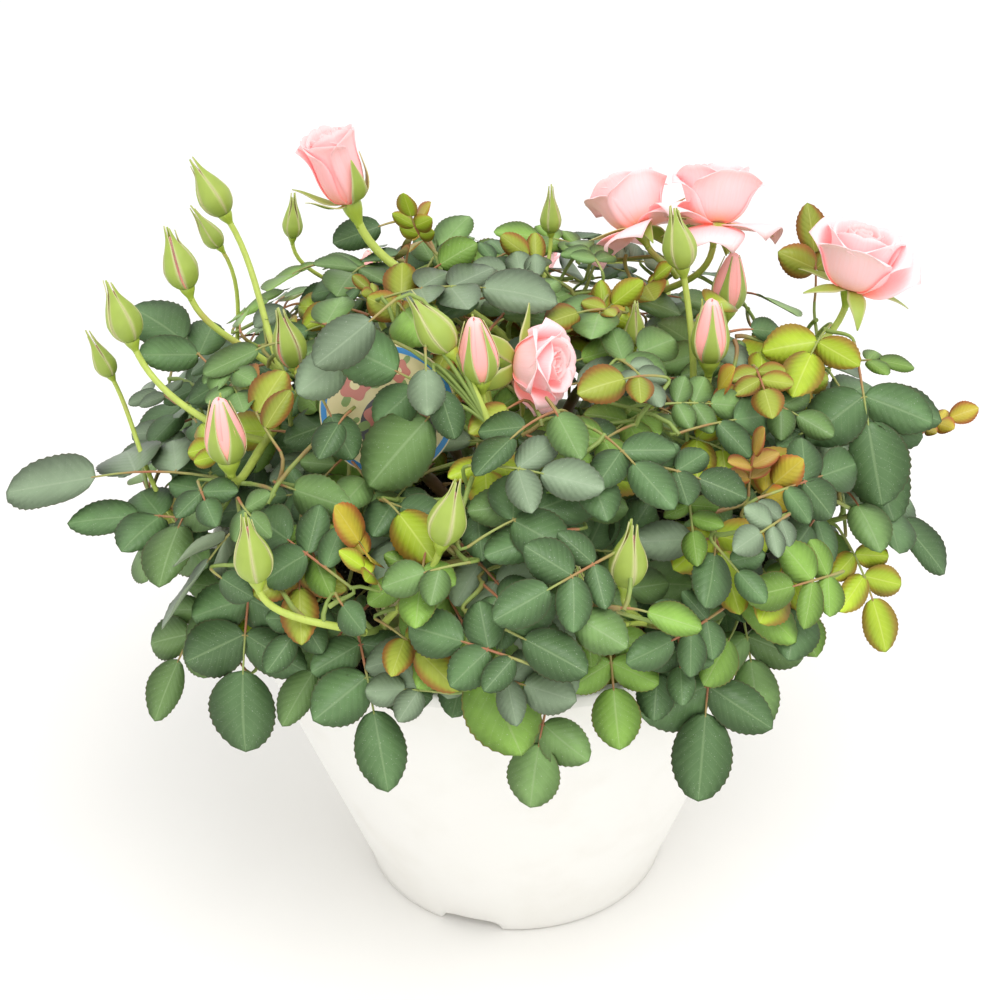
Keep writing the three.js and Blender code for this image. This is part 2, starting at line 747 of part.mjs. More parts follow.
// One closed surface for a twig and its compound leaf: a three-sided limb whose right and left faces
// open into leaflets, each with a rear, lower, front and upper corner at its widest and a tip
function spraySurface(twigPoints, made, kept) {
  const stations = twigPoints.map((centre) => ({ centre, pair: 0 }));
  for (let pair = 3; pair >= 1; pair -= 1) {
    const leaflet = kept.find((leaf) => leaf.pair === pair);
    if (!leaflet) continue;
    const { base, rachisWay } = leaflet;
    stations.push({ centre: base.clone().addScaledVector(rachisWay, -leafRoot), pair });
    stations.push({ centre: base.clone().addScaledVector(rachisWay, leafRoot), pair: 0 });
  }
  stations.push({ centre: made.rachis[2], pair: 0 });
  const last = stations.length - 1;
  const corners = [];
  const faces = [];
  let rise = made.face;
  for (let i = last; i >= 0; i -= 1) {
    const before = stations[Math.max(0, i - 1)].centre;
    const after = stations[Math.min(last, i + 1)].centre;
    const along = after.clone().sub(before).normalize();
    rise = squareTo(rise, along);
    const side = along.clone().cross(rise);
    const radius = i === 0 ? rootRadius : twigRadius + ((rachisRadius - twigRadius) * i) / last;
    for (let j = 0; j < 3; j += 1) {
      const angle = (2 * Math.PI * j) / 3;
      corners[3 * i + j] = stations[i].centre
        .clone()
        .addScaledVector(rise, radius * Math.cos(angle))
        .addScaledVector(side, radius * Math.sin(angle));
    }
  }
  faces.push(0, 2, 1);
  for (let i = 0; i < last; i += 1) {
    for (let j = 0; j < 3; j += 1) {
      const next = (j + 1) % 3;
      const loop = [3 * i + j, 3 * i + next, 3 * i + 3 + next, 3 * i + 3 + j];
      const hand = [1, 0, -1][j];
      const { pair } = stations[i];
      const leaf = pair && hand && kept.find((one) => one.pair === pair && one.hand === hand);
      if (leaf) {
        openLeaf(corners, faces, loop, leaf, hand);
      } else {
        faces.push(loop[0], loop[1], loop[2], loop[0], loop[2], loop[3]);
      }
    }
  }
  endLeaf(corners, faces, 3 * last, kept[0]);
  return bufferOf(corners.flatMap((c) => [c.x, c.y, c.z]), faces);
}

// The corners of a leaflet at its widest
function widestCorners(leaf) {
  const [base, right, , left] = leafOutline(leaf);
  const middle = base.clone().addScaledVector(leaf.along, leaf.length * widestAt);
  return {
    left,
    right,
    lower: middle.clone().addScaledVector(leaf.face, -leafThickness / 2),
    upper: middle.clone().addScaledVector(leaf.face, leafThickness / 2),
  };
}

function openLeaf(corners, faces, loop, leaf, hand) {
  const { left, right, lower, upper } = widestCorners(leaf);
  // Corners that face the loop's rear edge, second edge, front edge and fourth edge in turn
  const ring = hand > 0 ? [right, lower, left, upper] : [left, upper, right, lower];
  const first = corners.length;
  corners.push(...ring, leafTip(leaf));
  for (let k = 0; k < 4; k += 1) {
    const next = (k + 1) % 4;
    faces.push(loop[k], loop[next], first + k, loop[next], first + next, first + k);
    faces.push(first + k, first + next, first + 4);
  }
}

function endLeaf(corners, faces, cap, leaf) {
  const { left, right, lower, upper } = widestCorners(leaf);
  const first = corners.length;
  corners.push(right, lower, left, upper, leafTip(leaf));
  const [r, low, l, high, tip] = [0, 1, 2, 3, 4].map((k) => first + k);
  faces.push(cap, cap + 1, r, cap + 1, low, r, cap + 1, cap + 2, low, cap + 2, l, low);
  faces.push(cap + 2, cap, l, cap, high, l, cap, r, high);
  faces.push(r, low, tip, low, l, tip, l, high, tip, high, r, tip);
}

// A bloom or bud about its own axis: calyx, swelling and mouth, or a pointed tip
function bloomSolid(kind, foot, axis) {
  const { radius, height } = bloomSizes[kind];
  const forms = {
    rose: [[0.14, 0], [0.5, 0.22], [1, 0.55], [0.86, 0.8], [0.3, 1]],
    half: [[0.16, 0], [0.5, 0.16], [0.78, 0.42], [1, 0.74], [0.35, 1]],
    pinkBud: [[0.3, 0], [0.95, 0.24], [0.9, 0.5], [0.35, 1]],
    bud: [[0.3, 0], [1, 0.26], [0.8, 0.52], [0.1, 1]],
    smallBud: [[0.35, 0], [1, 0.3], [0.7, 0.55], [0.12, 1]],
  };
  const sides = radius > 8 ? 8 : 6;
  const first = squareTo(new THREE.Vector3(0.6, 0.5, 0.4), axis);
  const second = axis.clone().cross(first);
  const rows = forms[kind].map(([wide, high]) => {
    const row = [];
    for (let j = 0; j < sides; j += 1) {
      const angle = (2 * Math.PI * j) / sides;
      row.push(
        foot
          .clone()
          .addScaledVector(axis, height * high)
          .addScaledVector(first, radius * wide * Math.cos(angle))
          .addScaledVector(second, radius * wide * Math.sin(angle)),
      );
    }
    return row;
  });
  return ringSurface(rows);
}

function growFlower(shoot) {
  const { radius, height } = bloomSizes[shoot.kind];
  const centre = place(shoot.turn, shoot.reach, shoot.height);
  const axis = bearing(shoot.toward, shoot.lean - 90);
  const foot = centre.clone().addScaledVector(axis, -height / 2);
  const index = ownerOf(foot);
  const mass = masses[index];
  const start = nearestStart(mass.starts, foot.clone().addScaledVector(axis, -stalkReach));
  const stalk = twigCurve(start, foot.clone().addScaledVector(axis, 1.5), axis);
  const points = stalk.getPoints(stalkSteps);
  const radii = taper(stalkRadius, stalkRadius * 0.8, points.length);
  radii[0] = rootRadius;
  mass.pieces.push(limb(points, radii, 3));
  noteTwig(mass, index, start, points, stalkRadius);
  mass.pieces.push(bloomSolid(shoot.kind, foot, axis));
  blooms.push({ centre, radius: Math.max(radius, height * 0.4), owner: index });
}

function growSpray(row) {
  const end = place(row.turn, row.reach, row.height);
  const heading = bearing(row.heading, row.droop);
  const faceHint = up.clone().applyAxisAngle(heading, row.roll * degrees);
  const made = makeSpray(end, heading, faceHint, row.leaflets, row.size);
  const index = ownerOf(end);
  addSpray(masses[index], index, made, made.leaflets);
}

// The twig that carries a compound leaf, from a place on the mass's limbs
function twigFor(start, made) {
  const [foot, bend] = made.rachis;
  return twigCurve(start, foot, bend.clone().sub(foot).normalize());
}

// Adds a compound leaf if its leaflets and twig keep to the mass's own space
function trySpray(mass, index, made) {
  const kept = made.leaflets.filter((leaf) => leafFits(leaf, index));
  if (kept[0] !== made.leaflets[0] || 2 * kept.length <= made.leaflets.length) return false;
  const start = nearestStart(mass.starts, made.rachis[0]);
  if (!curveFits(twigFor(start, made), twigRadius, index)) return false;
  if (!curveFits(new THREE.QuadraticBezierCurve3(...made.rachis), rachisRadius, index)) return false;
  addSpray(mass, index, made, kept);
  return true;
}

function addSpray(mass, index, made, kept) {
  const start = nearestStart(mass.starts, made.rachis[0]);
  const twig = twigFor(start, made);
  const points = twig.getPoints(twig.getLength() > longTwig ? 2 : 1);
  mass.pieces.push(spraySurface(points, made, kept));
  noteTwig(mass, index, start, points.concat(made.rachis.slice(1)), twigRadius);
  kept.forEach((leaf) => {
    const outline = leafOutline(leaf);
    leaves.push({ middle: leafMiddle(leaf), length: leaf.length, owner: index, outline });
  });
  mass.leafletCount += kept.length;
}

const leafMiddlePoint = place(0, 0, canopy.centre[2] - leafAim.middleBelow);

// Fills a mass's own space with compound leaves at random places near the canopy's surface
function fillMass(mass, index) {
  const draw = seededDraws(firstSeed + seedStep * index);
  for (let i = 0; i < attempts && mass.leafletCount < quota[mass.ring]; i += 1) {
    const offset = new THREE.Vector3(draw() - 0.5, draw() - 0.5, draw() - 0.5);
    const swing = (draw() - 0.5) * leafSwing;
    const tilt = (draw() - 0.5) * leafTilt;
    const kind = draw();
    const grade = draw();
    const end = mass.heart.clone().addScaledVector(offset, 2 * cellReach);
    const level = canopyLevel(end);
    if (level > shell.outer || level < shell.inner || insideOwn(end, index) < shell.edge) continue;
    const outward = end.clone().sub(leafMiddlePoint).normalize();
    const face = blend(up, leafAim.upward, outward, leafAim.outward).normalize();
    const ahead = squareTo(blend(outward, 1, up, -leafAim.droop), face);
    const heading = ahead.applyAxisAngle(face, swing * degrees);
    face.applyAxisAngle(heading, tilt * degrees);
    const count = kind < leafKinds.three ? 3 : kind < leafKinds.five ? 5 : 7;
    const size = leafSize.least + leafSize.spread * grade;
    for (let fewer = count; fewer >= 1; fewer -= 2) {
      const scale = 1 - leafSize.fewerShare * (count - fewer);
      if (trySpray(mass, index, makeSpray(end, heading, face, fewer, size * scale))) break;
    }
  }
}

// The largest body of a solid, without loose scraps and sealed hollows
function mainBody(solid) {
  return solid.decompose().reduce((a, b) => (b.volume() > a.volume() ? b : a));
}

// Fuses a mass's pieces and takes out slivers
function joinMass(mass) {
  let whole = solidOf(mass.pieces[0]);
  mass.pieces.slice(1).forEach((piece) => {
    whole = whole.add(solidOf(piece));
  });
  for (let pass = 0; pass < 3; pass += 1) {
    whole = mainBody(whole.simplify(finest));
    whole = mainBody(solidOf(geometryOf(whole), weld));
  }
  return whole;
}

makePot();
makeSoil();
makeTag();
makeCrown();

// The tag and its stake count as limbs that every leaf keeps clear of
for (let i = -3; i <= 3; i += 1) {
  const across = (i * tag.radius) / 4;
  const half = Math.sqrt(tag.radius * tag.radius - across * across);
  const left = tagCentre.clone().add(new THREE.Vector3(-half, 0, 0)).addScaledVector(tagUp, across);
  const right = left.clone().add(new THREE.Vector3(2 * half, 0, 0));
  limbs.push({ from: left, to: right, radius: tag.thickness, owner: -1 });
}
limbs.push({
  from: tagCentre,
  to: tagCentre.clone().addScaledVector(tagUp, -stakeLength),
  radius: tag.stakeWidth / 2,
  owner: -1,
});
const outward = bearing(outlook.turn, -outlook.rise);
limbs.push({
  from: tagCentre.clone().addScaledVector(outward, outlook.near),
  to: tagCentre.clone().addScaledVector(outward, outlook.far),
  radius: outlook.radius,
  owner: -1,
});

masses.forEach((mass) => {
  addMesh(
    "cane_" + mass.suffix,
    limb(mass.cane.getPoints(caneSteps), taper(mass.radius, caneTip, caneSteps + 1), 6),
    0x6f7d3c,
    0.6,
  );
  addLimb(mass.cane, mass.radius, -1, caneSteps);
});
masses.forEach(growStem);
flowers.forEach(growFlower);
sprays.forEach(growSpray);
masses.forEach(fillMass);
masses.forEach((mass) => {
  addMesh("foliage_" + mass.suffix, geometryOf(joinMass(mass)), 0x6f9a5a, 0.7);
});

export default group;
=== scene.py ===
import json
import math
import bmesh
import bpy
import numpy as np
from mathutils import Matrix, Vector, noise

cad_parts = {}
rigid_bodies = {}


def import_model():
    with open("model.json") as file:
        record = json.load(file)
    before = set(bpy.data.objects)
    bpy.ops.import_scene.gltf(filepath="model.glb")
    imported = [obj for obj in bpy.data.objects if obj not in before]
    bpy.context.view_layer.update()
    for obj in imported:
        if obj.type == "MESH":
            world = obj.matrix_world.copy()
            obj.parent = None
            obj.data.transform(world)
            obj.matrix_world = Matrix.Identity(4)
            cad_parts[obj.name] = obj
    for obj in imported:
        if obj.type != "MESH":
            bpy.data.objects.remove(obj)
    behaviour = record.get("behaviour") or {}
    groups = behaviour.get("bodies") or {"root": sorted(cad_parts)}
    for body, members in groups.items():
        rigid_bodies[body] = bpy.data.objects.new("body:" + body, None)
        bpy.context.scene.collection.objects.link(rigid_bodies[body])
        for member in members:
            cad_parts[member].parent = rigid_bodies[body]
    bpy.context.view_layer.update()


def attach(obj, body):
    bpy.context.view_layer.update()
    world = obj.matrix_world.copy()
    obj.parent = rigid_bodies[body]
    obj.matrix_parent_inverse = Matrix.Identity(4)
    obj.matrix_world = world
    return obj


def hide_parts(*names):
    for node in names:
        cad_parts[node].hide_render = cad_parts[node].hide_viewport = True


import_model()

# A potted miniature rose bush with pink blooms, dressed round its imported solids
# Sizes in millimetres, as in the part's source; the meshes are made in metres
mm = 0.001
upward = np.array([0.0, 0.0, 1.0])
soilTop = 118
gap = 0.3
potForm = {
    "rimRadius": 105, "baseRadius": 55, "height": 137, "wall": 3.2, "lipHeight": 5, "lipStep": 1.1,
    "edge": 1.2, "notchCount": 3, "notchTurn": -18, "notchWidth": 23, "notchHeight": 4, "notchDepth": 11,
}
tagForm = {
    "radius": 20.5, "thickness": 1.2, "centre": (-37, -58, 210), "tiltBack": 10, "stakeWidth": 9,
    "stakeDepth": 12,
}
crownForm = {"footRadius": 14, "neckRadius": 10, "topRadius": 5.5, "height": 25}
ringPlan = [
    {"name": "top", "count": 1, "reach": 0, "height": 208, "firstTurn": 0},
    {"name": "inner", "count": 5, "reach": 73, "height": 188, "firstTurn": 0},
    {"name": "outer", "count": 8, "reach": 118, "height": 160, "firstTurn": 22.5},
]
caneForm = {
    "top": {"footHeight": 25, "fork": (0, 176), "radius": 2.6, "rise": 1},
    "inner": {"footHeight": 17.5, "fork": (42, 172), "radius": 2.6, "rise": 1.1},
    "outer": {"footHeight": 9, "fork": (90, 152), "radius": 2.5, "rise": 0.75},
    "tipRadius": 1.9, "steps": 8,
}
canopyForm = {"centre": (-3, 0, 158), "across": 137, "deep": 137, "above": 76, "below": 50}
# Space left open before the tag
outlookForm = {"turn": 4, "rise": 26, "near": 12, "far": 75, "radius": 14}
bareForm = {"radius": 46, "height": 40, "centreHeight": 126}
growth = {
    "stemRadius": 1.7, "twigRadius": 1.15, "stalkRadius": 1.25, "rachisRadius": 0.85, "leafThickness": 1.2,
    "leafWidth": 0.76, "widestAt": 0.42, "leafFold": 0.07, "longTwig": 26, "stalkSteps": 3,
    "stalkReach": 38, "keepOff": 0.6, "leafSpacing": 9, "startSpacing": 7,
    "quota": {"top": 29, "inner": 29, "outer": 26}, "attempts": 4000, "cellReach": 82, "shellInner": 0.3,
    "shellOuter": 0.95, "shellEdge": 2, "leastLeaf": 22, "leafSpread": 9, "fewerShare": 0.06, "swing": 170,
    "tilt": 50, "rachisShare": {1: 0.45, 3: 1, 5: 1.4, 7: 1.75}, "stemSteps": 3,
    "stemStarts": (0.25, 0.45, 0.65, 0.85, 1), "twigStarts": (0.2, 0.35, 0.5),
}
bloomSizes = {
    "rose": (17, 28), "half": (10.5, 36), "pinkBud": (6, 25), "bud": (5.2, 23), "smallBud": (3.4, 17),
}

# Flowering shoots: kind, turn from the front, reach, height, lean from upright, the turn it leans towards
flowerRows = [
    ("half", -100, 54, 262, 18, -90), ("rose", 119, 82, 239, 10, 0), ("rose", 138, 66, 234, 38, -110),
    ("rose", 90, 113, 230, 16, -60), ("rose", 10, 47, 219, 62, 95), ("pinkBud", 69, 68, 217, 0, 0),
    ("pinkBud", 111, 82, 212, 5, 90), ("pinkBud", -53, 107, 205, 3, -90), ("bud", -104, 100, 251, 26, -90),
    ("smallBud", -114, 113, 230, 30, -90), ("bud", -82, 104, 241, 12, -90), ("bud", -78, 123, 228, 14, -90),
    ("smallBud", -86, 133, 207, 20, -90), ("smallBud", -128, 96, 229, 5, 90),
    ("smallBud", 159, 43, 236, 0, 0), ("bud", 85, 55, 241, 10, -90), ("bud", -20, 64, 237, 34, -100),
    ("pinkBud", -9, 61, 228, 8, -30), ("bud", -74, 73, 216, 10, -90), ("bud", -10, 107, 199, 14, 80),
    ("bud", -34, 131, 190, 4, -90), ("bud", 17, 110, 184, 6, 60), ("smallBud", 11, 104, 172, 14, -80),
    ("smallBud", 76, 42, 215, 4, 0), ("rose", 176, 122, 184, 40, 176), ("bud", 152, 128, 178, 24, 152),
    ("pinkBud", -154, 118, 186, 18, -154),
]

# Sprays that stand out: turn, reach, height, heading, droop, leaflets, size, roll, tint
sprayRows = [
    (-74, 138, 179, -100, 14, 5, 33, 0, "grey"), (-67, 128, 171, -90, 2, 3, 23, 0, "dark"),
    (-49, 121, 172, -62, 48, 3, 26, 60, "grey"), (-85, 106, 213, -125, -24, 3, 24, 0, "dark"),
    (-150, 46, 225, 137, -34, 3, 17, 0, "mid"), (-133, 42, 236, 60, -62, 5, 12, 0, "gold"),
    (-22, 22, 234, 78, 2, 5, 24, 0, "grey"), (101, 105, 228, -160, -70, 3, 17, 0, "olive"),
    (167, 51, 225, -90, -8, 5, 16, 0, "fresh"), (83, 119, 189, 75, 4, 5, 24, 0, "dark"),
    (80, 118, 178, 22, 44, 3, 29, 0, "dark"), (99, 130, 188, 90, 8, 3, 13, 0, "fresh"),
    (75, 132, 155, 71, 44, 3, 24, 0, "dark"), (62, 129, 142, 34, 58, 5, 18, 0, "lime"),
    (75, 99, 212, -26, 16, 3, 21, 0, "lime"), (88, 148, 178, 84, -26, 5, 10, 0, "gold"),
    (-41, 125, 142, -10, 66, 5, 26, 0, "dark"), (-56, 128, 131, -40, 50, 5, 21, 0, "mid"),
    (-20, 122, 141, 16, 52, 5, 24, 0, "dark"), (-5, 112, 154, 30, 40, 5, 28, 0, "fresh"),
    (3, 119, 131, -24, 64, 3, 20, 0, "mid"), (14, 116, 146, 4, 46, 5, 18, 0, "fresh"),
    (29, 117, 129, -12, 62, 3, 27, 0, "dark"), (40, 112, 137, 14, 60, 3, 23, 0, "mid"),
    (49, 113, 147, 30, 34, 5, 17, 0, "fresh"), (-32, 114, 143, -44, 40, 5, 19, 0, "mid"),
    (-25, 105, 186, -60, -64, 3, 16, 0, "gold"), (-33, 115, 172, 4, 30, 3, 18, 0, "olive"),
    (-14, 117, 161, 50, 26, 3, 17, 0, "olive"), (-6, 76, 198, 0, 8, 3, 15, 0, "lime"),
    (35, 106, 176, 16, 36, 3, 20, 0, "lime"), (-72, 36, 226, 178, -44, 3, 15, 0, "olive"),
    (58, 76, 206, 30, -60, 5, 12, 0, "gold"),
]


def unit(v):
    return v / math.sqrt(v @ v)


def squareTo(v, axis):
    return unit(v - axis * (v @ axis))


def cross(a, b):
    return np.array([a[1] * b[2] - a[2] * b[1], a[2] * b[0] - a[0] * b[2], a[0] * b[1] - a[1] * b[0]])


def turnAbout(v, axis, angle):
    c, s = math.cos(angle), math.sin(angle)
    return v * c + cross(axis, v) * s + axis * (axis @ v) * (1 - c)


def place(turn, reach, height):
    angle = math.radians(turn)
    return np.array([reach * math.sin(angle), -reach * math.cos(angle), height])


def bearing(turn, droop):
    angle, fall = math.radians(turn), math.radians(droop)
    return np.array([math.cos(fall) * math.sin(angle), -math.cos(fall) * math.cos(angle), -math.sin(fall)])


def seededDraws(seed):
    state = seed
    while True:
        state = (state * 1664525 + 1013904223) % 4294967296
        yield state / 4294967296


# A Bezier curve is an array of its 3 or 4 control points
def curveAt(control, t):
    t = np.asarray(t, float)[..., None]
    s = 1 - t
    if len(control) == 3:
        return s * s * control[0] + 2 * s * t * control[1] + t * t * control[2]
    near = s ** 3 * control[0] + 3 * s * s * t * control[1]
    return near + 3 * s * t * t * control[2] + t ** 3 * control[3]


def curvePoints(control, steps):
    return curveAt(control, np.arange(steps + 1) / steps)


def apartFrom(points, point):
    return np.sqrt(((points - point) ** 2).sum(1))


def curveLength(control):
    steps = np.diff(curvePoints(control, 200), axis=0)
    return float(np.sqrt((steps ** 2).sum(1)).sum())


# Rows of numbers that grow as the plant does
def newBank(width):
    return {"rows": np.zeros((9000, width)), "count": 0}


def bankAdd(bank, *values):
    bank["rows"][bank["count"]] = np.concatenate([np.ravel(v) for v in values])
    bank["count"] += 1


def bankRows(bank):
    return bank["rows"][: bank["count"]]


limbBank = newBank(8)      # from, to, radius, owner
leafBank = newBank(17)     # middle, length, owner, outline
bloomBank = newBank(4)     # centre, radius


def addStretches(points, radius, owner):
    for start, end in zip(points[:-1], points[1:]):
        bankAdd(limbBank, start, end, radius, owner)


# A place where a twig can start: a share of the way along a limb's straight stretches
def startAt(points, share):
    stretch = min(len(points) - 2, int(share * (len(points) - 1)))
    low, high = points[stretch], points[stretch + 1]
    return low + (high - low) * (share * (len(points) - 1) - stretch), unit(high - low)


# Nearest distance from one straight stretch to many
def stretchDistance(p, q, r, s):
    d1, d2, w = q - p, s - r, p - r
    a, e = d1 @ d1, (d2 * d2).sum(1)
    f, b, c = (d2 * w).sum(1), d2 @ d1, w @ d1
    both = a * e - b * b
    m = np.where(both > 1e-9, np.clip((b * f - c * e) / np.where(both > 1e-9, both, 1), 0, 1), 0)
    n = (b * m + f) / e
    m = np.where(n < 0, np.clip(-c / a, 0, 1), np.where(n > 1, np.clip((b - c) / a, 0, 1), m))
    n = np.clip(n, 0, 1)
    apart = w + m[:, None] * d1 - n[:, None] * d2
    return np.sqrt((apart ** 2).sum(1))


# True where straight stretches go through triangles; the arrays broadcast
def pierces(start, end, a, b, c):
    ray, ab, ac = end - start, b - a, c - a
    across = np.cross(ray, ac)
    size = (ab * across).sum(-1)
    size = np.where(np.abs(size) < 1e-9, np.inf, size)
    offset = start - a
    u = (offset * across).sum(-1) / size
    turned = np.cross(offset, ab)
    v = (ray * turned).sum(-1) / size
    t = (ac * turned).sum(-1) / size
    flat = np.isinf(size)
    return ~flat & (u >= 0) & (v >= 0) & (u + v <= 1) & (t >= 0) & (t <= 1)


def piercesLeaf(start, end, outline):
    base, right, tip, left = (outline[..., k, :] for k in range(4))
    return pierces(start, end, base, right, tip) | pierces(start, end, base, tip, left)


def leavesCross(outline, others):
    nexts = [1, 2, 3, 0]
    one = outline[None, :, :]
    cut = piercesLeaf(one, one[:, nexts], others[:, None])
    return (cut | piercesLeaf(others, others[:, nexts], outline[None, None])).any()


def layOut():
    plan = []
    for ring in ringPlan:
        form = caneForm[ring["name"]]
        single = ring["count"] == 1
        for i in range(ring["count"]):
            turn = ring["firstTurn"] + 360 / ring["count"] * i
            heart = place(turn, ring["reach"], ring["height"])
            fork = place(turn, *form["fork"])
            out = unit(heart - fork)
            climb = upward if single else bearing(turn, -90 * form["rise"] + 45)
            footReach = 0 if single else crownForm["neckRadius"] + gap + form["radius"] * climb[2]
            foot = place(turn, footReach, soilTop + gap + form["footHeight"] + (gap if single else 0))
            span = math.dist(fork, foot)
            cane = np.array([foot, foot + climb * span * 0.34, fork - out * span * 0.3, fork])
            stemFoot = fork + out * gap
            stem = np.array([stemFoot, stemFoot + out * math.dist(fork, heart) * 0.5, heart + upward * 4])
            stemPoints = curvePoints(stem, growth["stemSteps"])
            starts = [startAt(stemPoints, share) for share in growth["stemStarts"]]
            suffix = ring["name"] if single else f'{ring["name"]}_{i + 1}'
            plan.append({
                "ring": ring["name"], "suffix": suffix, "heart": heart, "cane": cane,
                "radius": form["radius"], "stem": stem, "starts": starts, "leaflets": 0,
            })
    return plan


masses = layOut()
hearts = np.array([mass["heart"] for mass in masses])
sprayList = []      # made spray, leaflets kept, twig, tint, scale, young or not
flowerList = []     # kind, foot, axis, stalk


# How far points are inside a mass's own space
def insideOwn(points, index):
    others = np.delete(hearts, index, axis=0)
    away = masses[index]["heart"] - others
    middle = (masses[index]["heart"] + others) / 2
    far = (points[..., None, :] - middle) * away
    return (far.sum(-1) / np.sqrt((away ** 2).sum(1))).min(-1)


def ownerOf(point):
    return int(np.argmin(apartFrom(hearts, point)))


def canopyLevel(points):
    form = canopyForm
    rise = points[..., 2] - form["centre"][2]
    z = rise / np.where(rise > 0, form["above"], form["below"])
    x = (points[..., 0] - form["centre"][0]) / form["across"]
    y = (points[..., 1] - form["centre"][1]) / form["deep"]
    return x * x + y * y + z * z


def isBare(points):
    reach = np.hypot(points[..., 0], points[..., 1]) / bareForm["radius"]
    rise = (points[..., 2] - bareForm["centreHeight"]) / bareForm["height"]
    return reach ** 2 + rise ** 2 < 1


def potOuter(height):
    form = potForm
    slope = (form["rimRadius"] - form["lipStep"] - form["baseRadius"]) / form["height"]
    return form["baseRadius"] + slope * height


def clearOfPot(points, margin):
    height, reach = points[..., 2], np.hypot(points[..., 0], points[..., 1])
    over = height > potForm["height"] + margin
    outside = reach > potOuter(height) + potForm["lipStep"] + margin
    inside = (reach < potOuter(height) - potForm["wall"] - margin) & (height > soilTop + margin)
    return over | outside | inside


def leafletAt(base, along, face, length, hand):
    width = length * growth["leafWidth"]
    side = cross(along, face)
    widest = base + along * length * growth["widestAt"] + face * width * growth["leafFold"]
    tip = base + along * length
    return {
        "base": base, "along": along, "face": face, "side": side, "length": length, "width": width,
        "hand": hand, "tip": tip, "middle": base + along * length / 2,
        "outline": np.array([base, widest + side * width / 2, tip, widest - side * width / 2]),
    }


def leafPoints(leaf):
    t = np.arange(7) / 6
    half = np.where(t < growth["widestAt"], t / growth["widestAt"], (1 - t) / (1 - growth["widestAt"]))
    spine = leaf["base"] + leaf["along"] * (leaf["length"] * t)[:, None]
    wide = leaf["side"] * (leaf["width"] * half / 2)[:, None]
    return np.concatenate([spine, spine + wide, spine - wide])


# Shares of a compound leaf's rachis back and down to its start, and on and up to its bend; where its pairs
# stand, how far they open in degrees, how they lean, and their size
sprayForm = {
    "start": (0.96, 0.2), "bend": (0.46, 0.17), "pairStep": 0.3, "opening": (54, 7), "lean": 0.16,
    "pairSize": (0.98, 0.13),
}


# A compound leaf: its rachis ends at a point, and leaflets stand along it in pairs
def makeSpray(end, heading, faceHint, count, size):
    face = squareTo(faceHint, heading)
    reach = size * growth["rachisShare"][count]
    start = end - heading * reach * sprayForm["start"][0] - face * reach * sprayForm["start"][1]
    bend = start + heading * reach * sprayForm["bend"][0] + face * reach * sprayForm["bend"][1]
    rachis = np.array([start, bend, end])
    leaflets = [leafletAt(end, heading, face, size, 0)]
    for pair in range(1, (count - 1) // 2 + 1):
        t = 2 * (1 - sprayForm["pairStep"] * pair)
        low, high = rachis[int(t)], rachis[int(t) + 1]
        foot = low + (high - low) * (t - int(t))
        along = unit(high - low)
        side = squareTo(cross(along, face), along)
        opening = math.radians(sprayForm["opening"][0] + sprayForm["opening"][1] * pair)
        length = size * (sprayForm["pairSize"][0] - sprayForm["pairSize"][1] * pair)
        for hand in (1, -1):
            way = along * math.cos(opening) + side * hand * math.sin(opening)
            lean = squareTo(face + side * hand * sprayForm["lean"], way)
            leaflets.append(leafletAt(foot, way, lean, length, hand))
    return {"rachis": rachis, "face": face, "leaflets": leaflets}


def leafFits(leaf, index, spacing, ownCell):
    points = leafPoints(leaf)
    keepOff = growth["keepOff"]
    if ownCell and (insideOwn(points, index) < keepOff + growth["leafThickness"] / 2).any():
        return False
    if not clearOfPot(points, 2).all() or (canopyLevel(points) > 1).any() or isBare(points).any():
        return False
    leafRows = bankRows(leafBank)
    apart = apartFrom(leafRows[:, :3], leaf["middle"])
    near = (leaf["length"] + leafRows[:, 3]) / 2
    if (apart < spacing).any() or (ownCell and ((leafRows[:, 4] != index) & (apart < near)).any()):
        return False
    bloomRows = bankRows(bloomBank)
    clear = apartFrom(bloomRows[:, :3], leaf["middle"]) - bloomRows[:, 3]
    if (clear < leaf["width"] / 2 + keepOff).any():
        return False
    limbRows = bankRows(limbBank)
    own = limbRows[:, 7] == index if ownCell else limbRows[:, 7] >= 0
    others = limbRows[~own]
    least = others[:, 6] + leaf["width"] / 2 + keepOff
    if (stretchDistance(leaf["base"], leaf["tip"], others[:, :3], others[:, 3:6]) < least).any():
        return False
    if piercesLeaf(limbRows[own, :3], limbRows[own, 3:6], leaf["outline"][None]).any():
        return False
    close = leafRows[apart < near][:, 5:].reshape(-1, 4, 3)
    return not (len(close) and leavesCross(leaf["outline"], close))


def curveFits(control, radius, index, ownCell):
    steps = max(2, math.ceil(curveLength(control) / 5))
    points = curvePoints(control, steps)
    keepOff = growth["keepOff"]
    if ownCell and (insideOwn(points[1:], index) < keepOff + radius).any():
        return False
    if not clearOfPot(points[1:], 1 + radius).all() or (canopyLevel(points[1:]) > 1).any():
        return False
    limbRows = bankRows(limbBank)
    others = limbRows[limbRows[:, 7] != index] if ownCell else limbRows[limbRows[:, 7] < 0]
    leafRows = bankRows(leafBank)
    for start, end in zip(points[:-1], points[1:]):
        apart = stretchDistance(start, end, others[:, :3], others[:, 3:6])
        if (apart < others[:, 6] + radius + keepOff).any():
            return False
        close = apartFrom(leafRows[:, :3], end) <= leafRows[:, 3]
        if close.any() and piercesLeaf(start, end, leafRows[close][:, 5:].reshape(-1, 4, 3)).any():
            return False
    return True


def nearestStart(starts, target):
    apart = apartFrom(np.array([point for point, _ in starts]), target)
    apart[apart <= growth["startSpacing"]] = np.inf
    return starts[int(np.argmin(apart))]


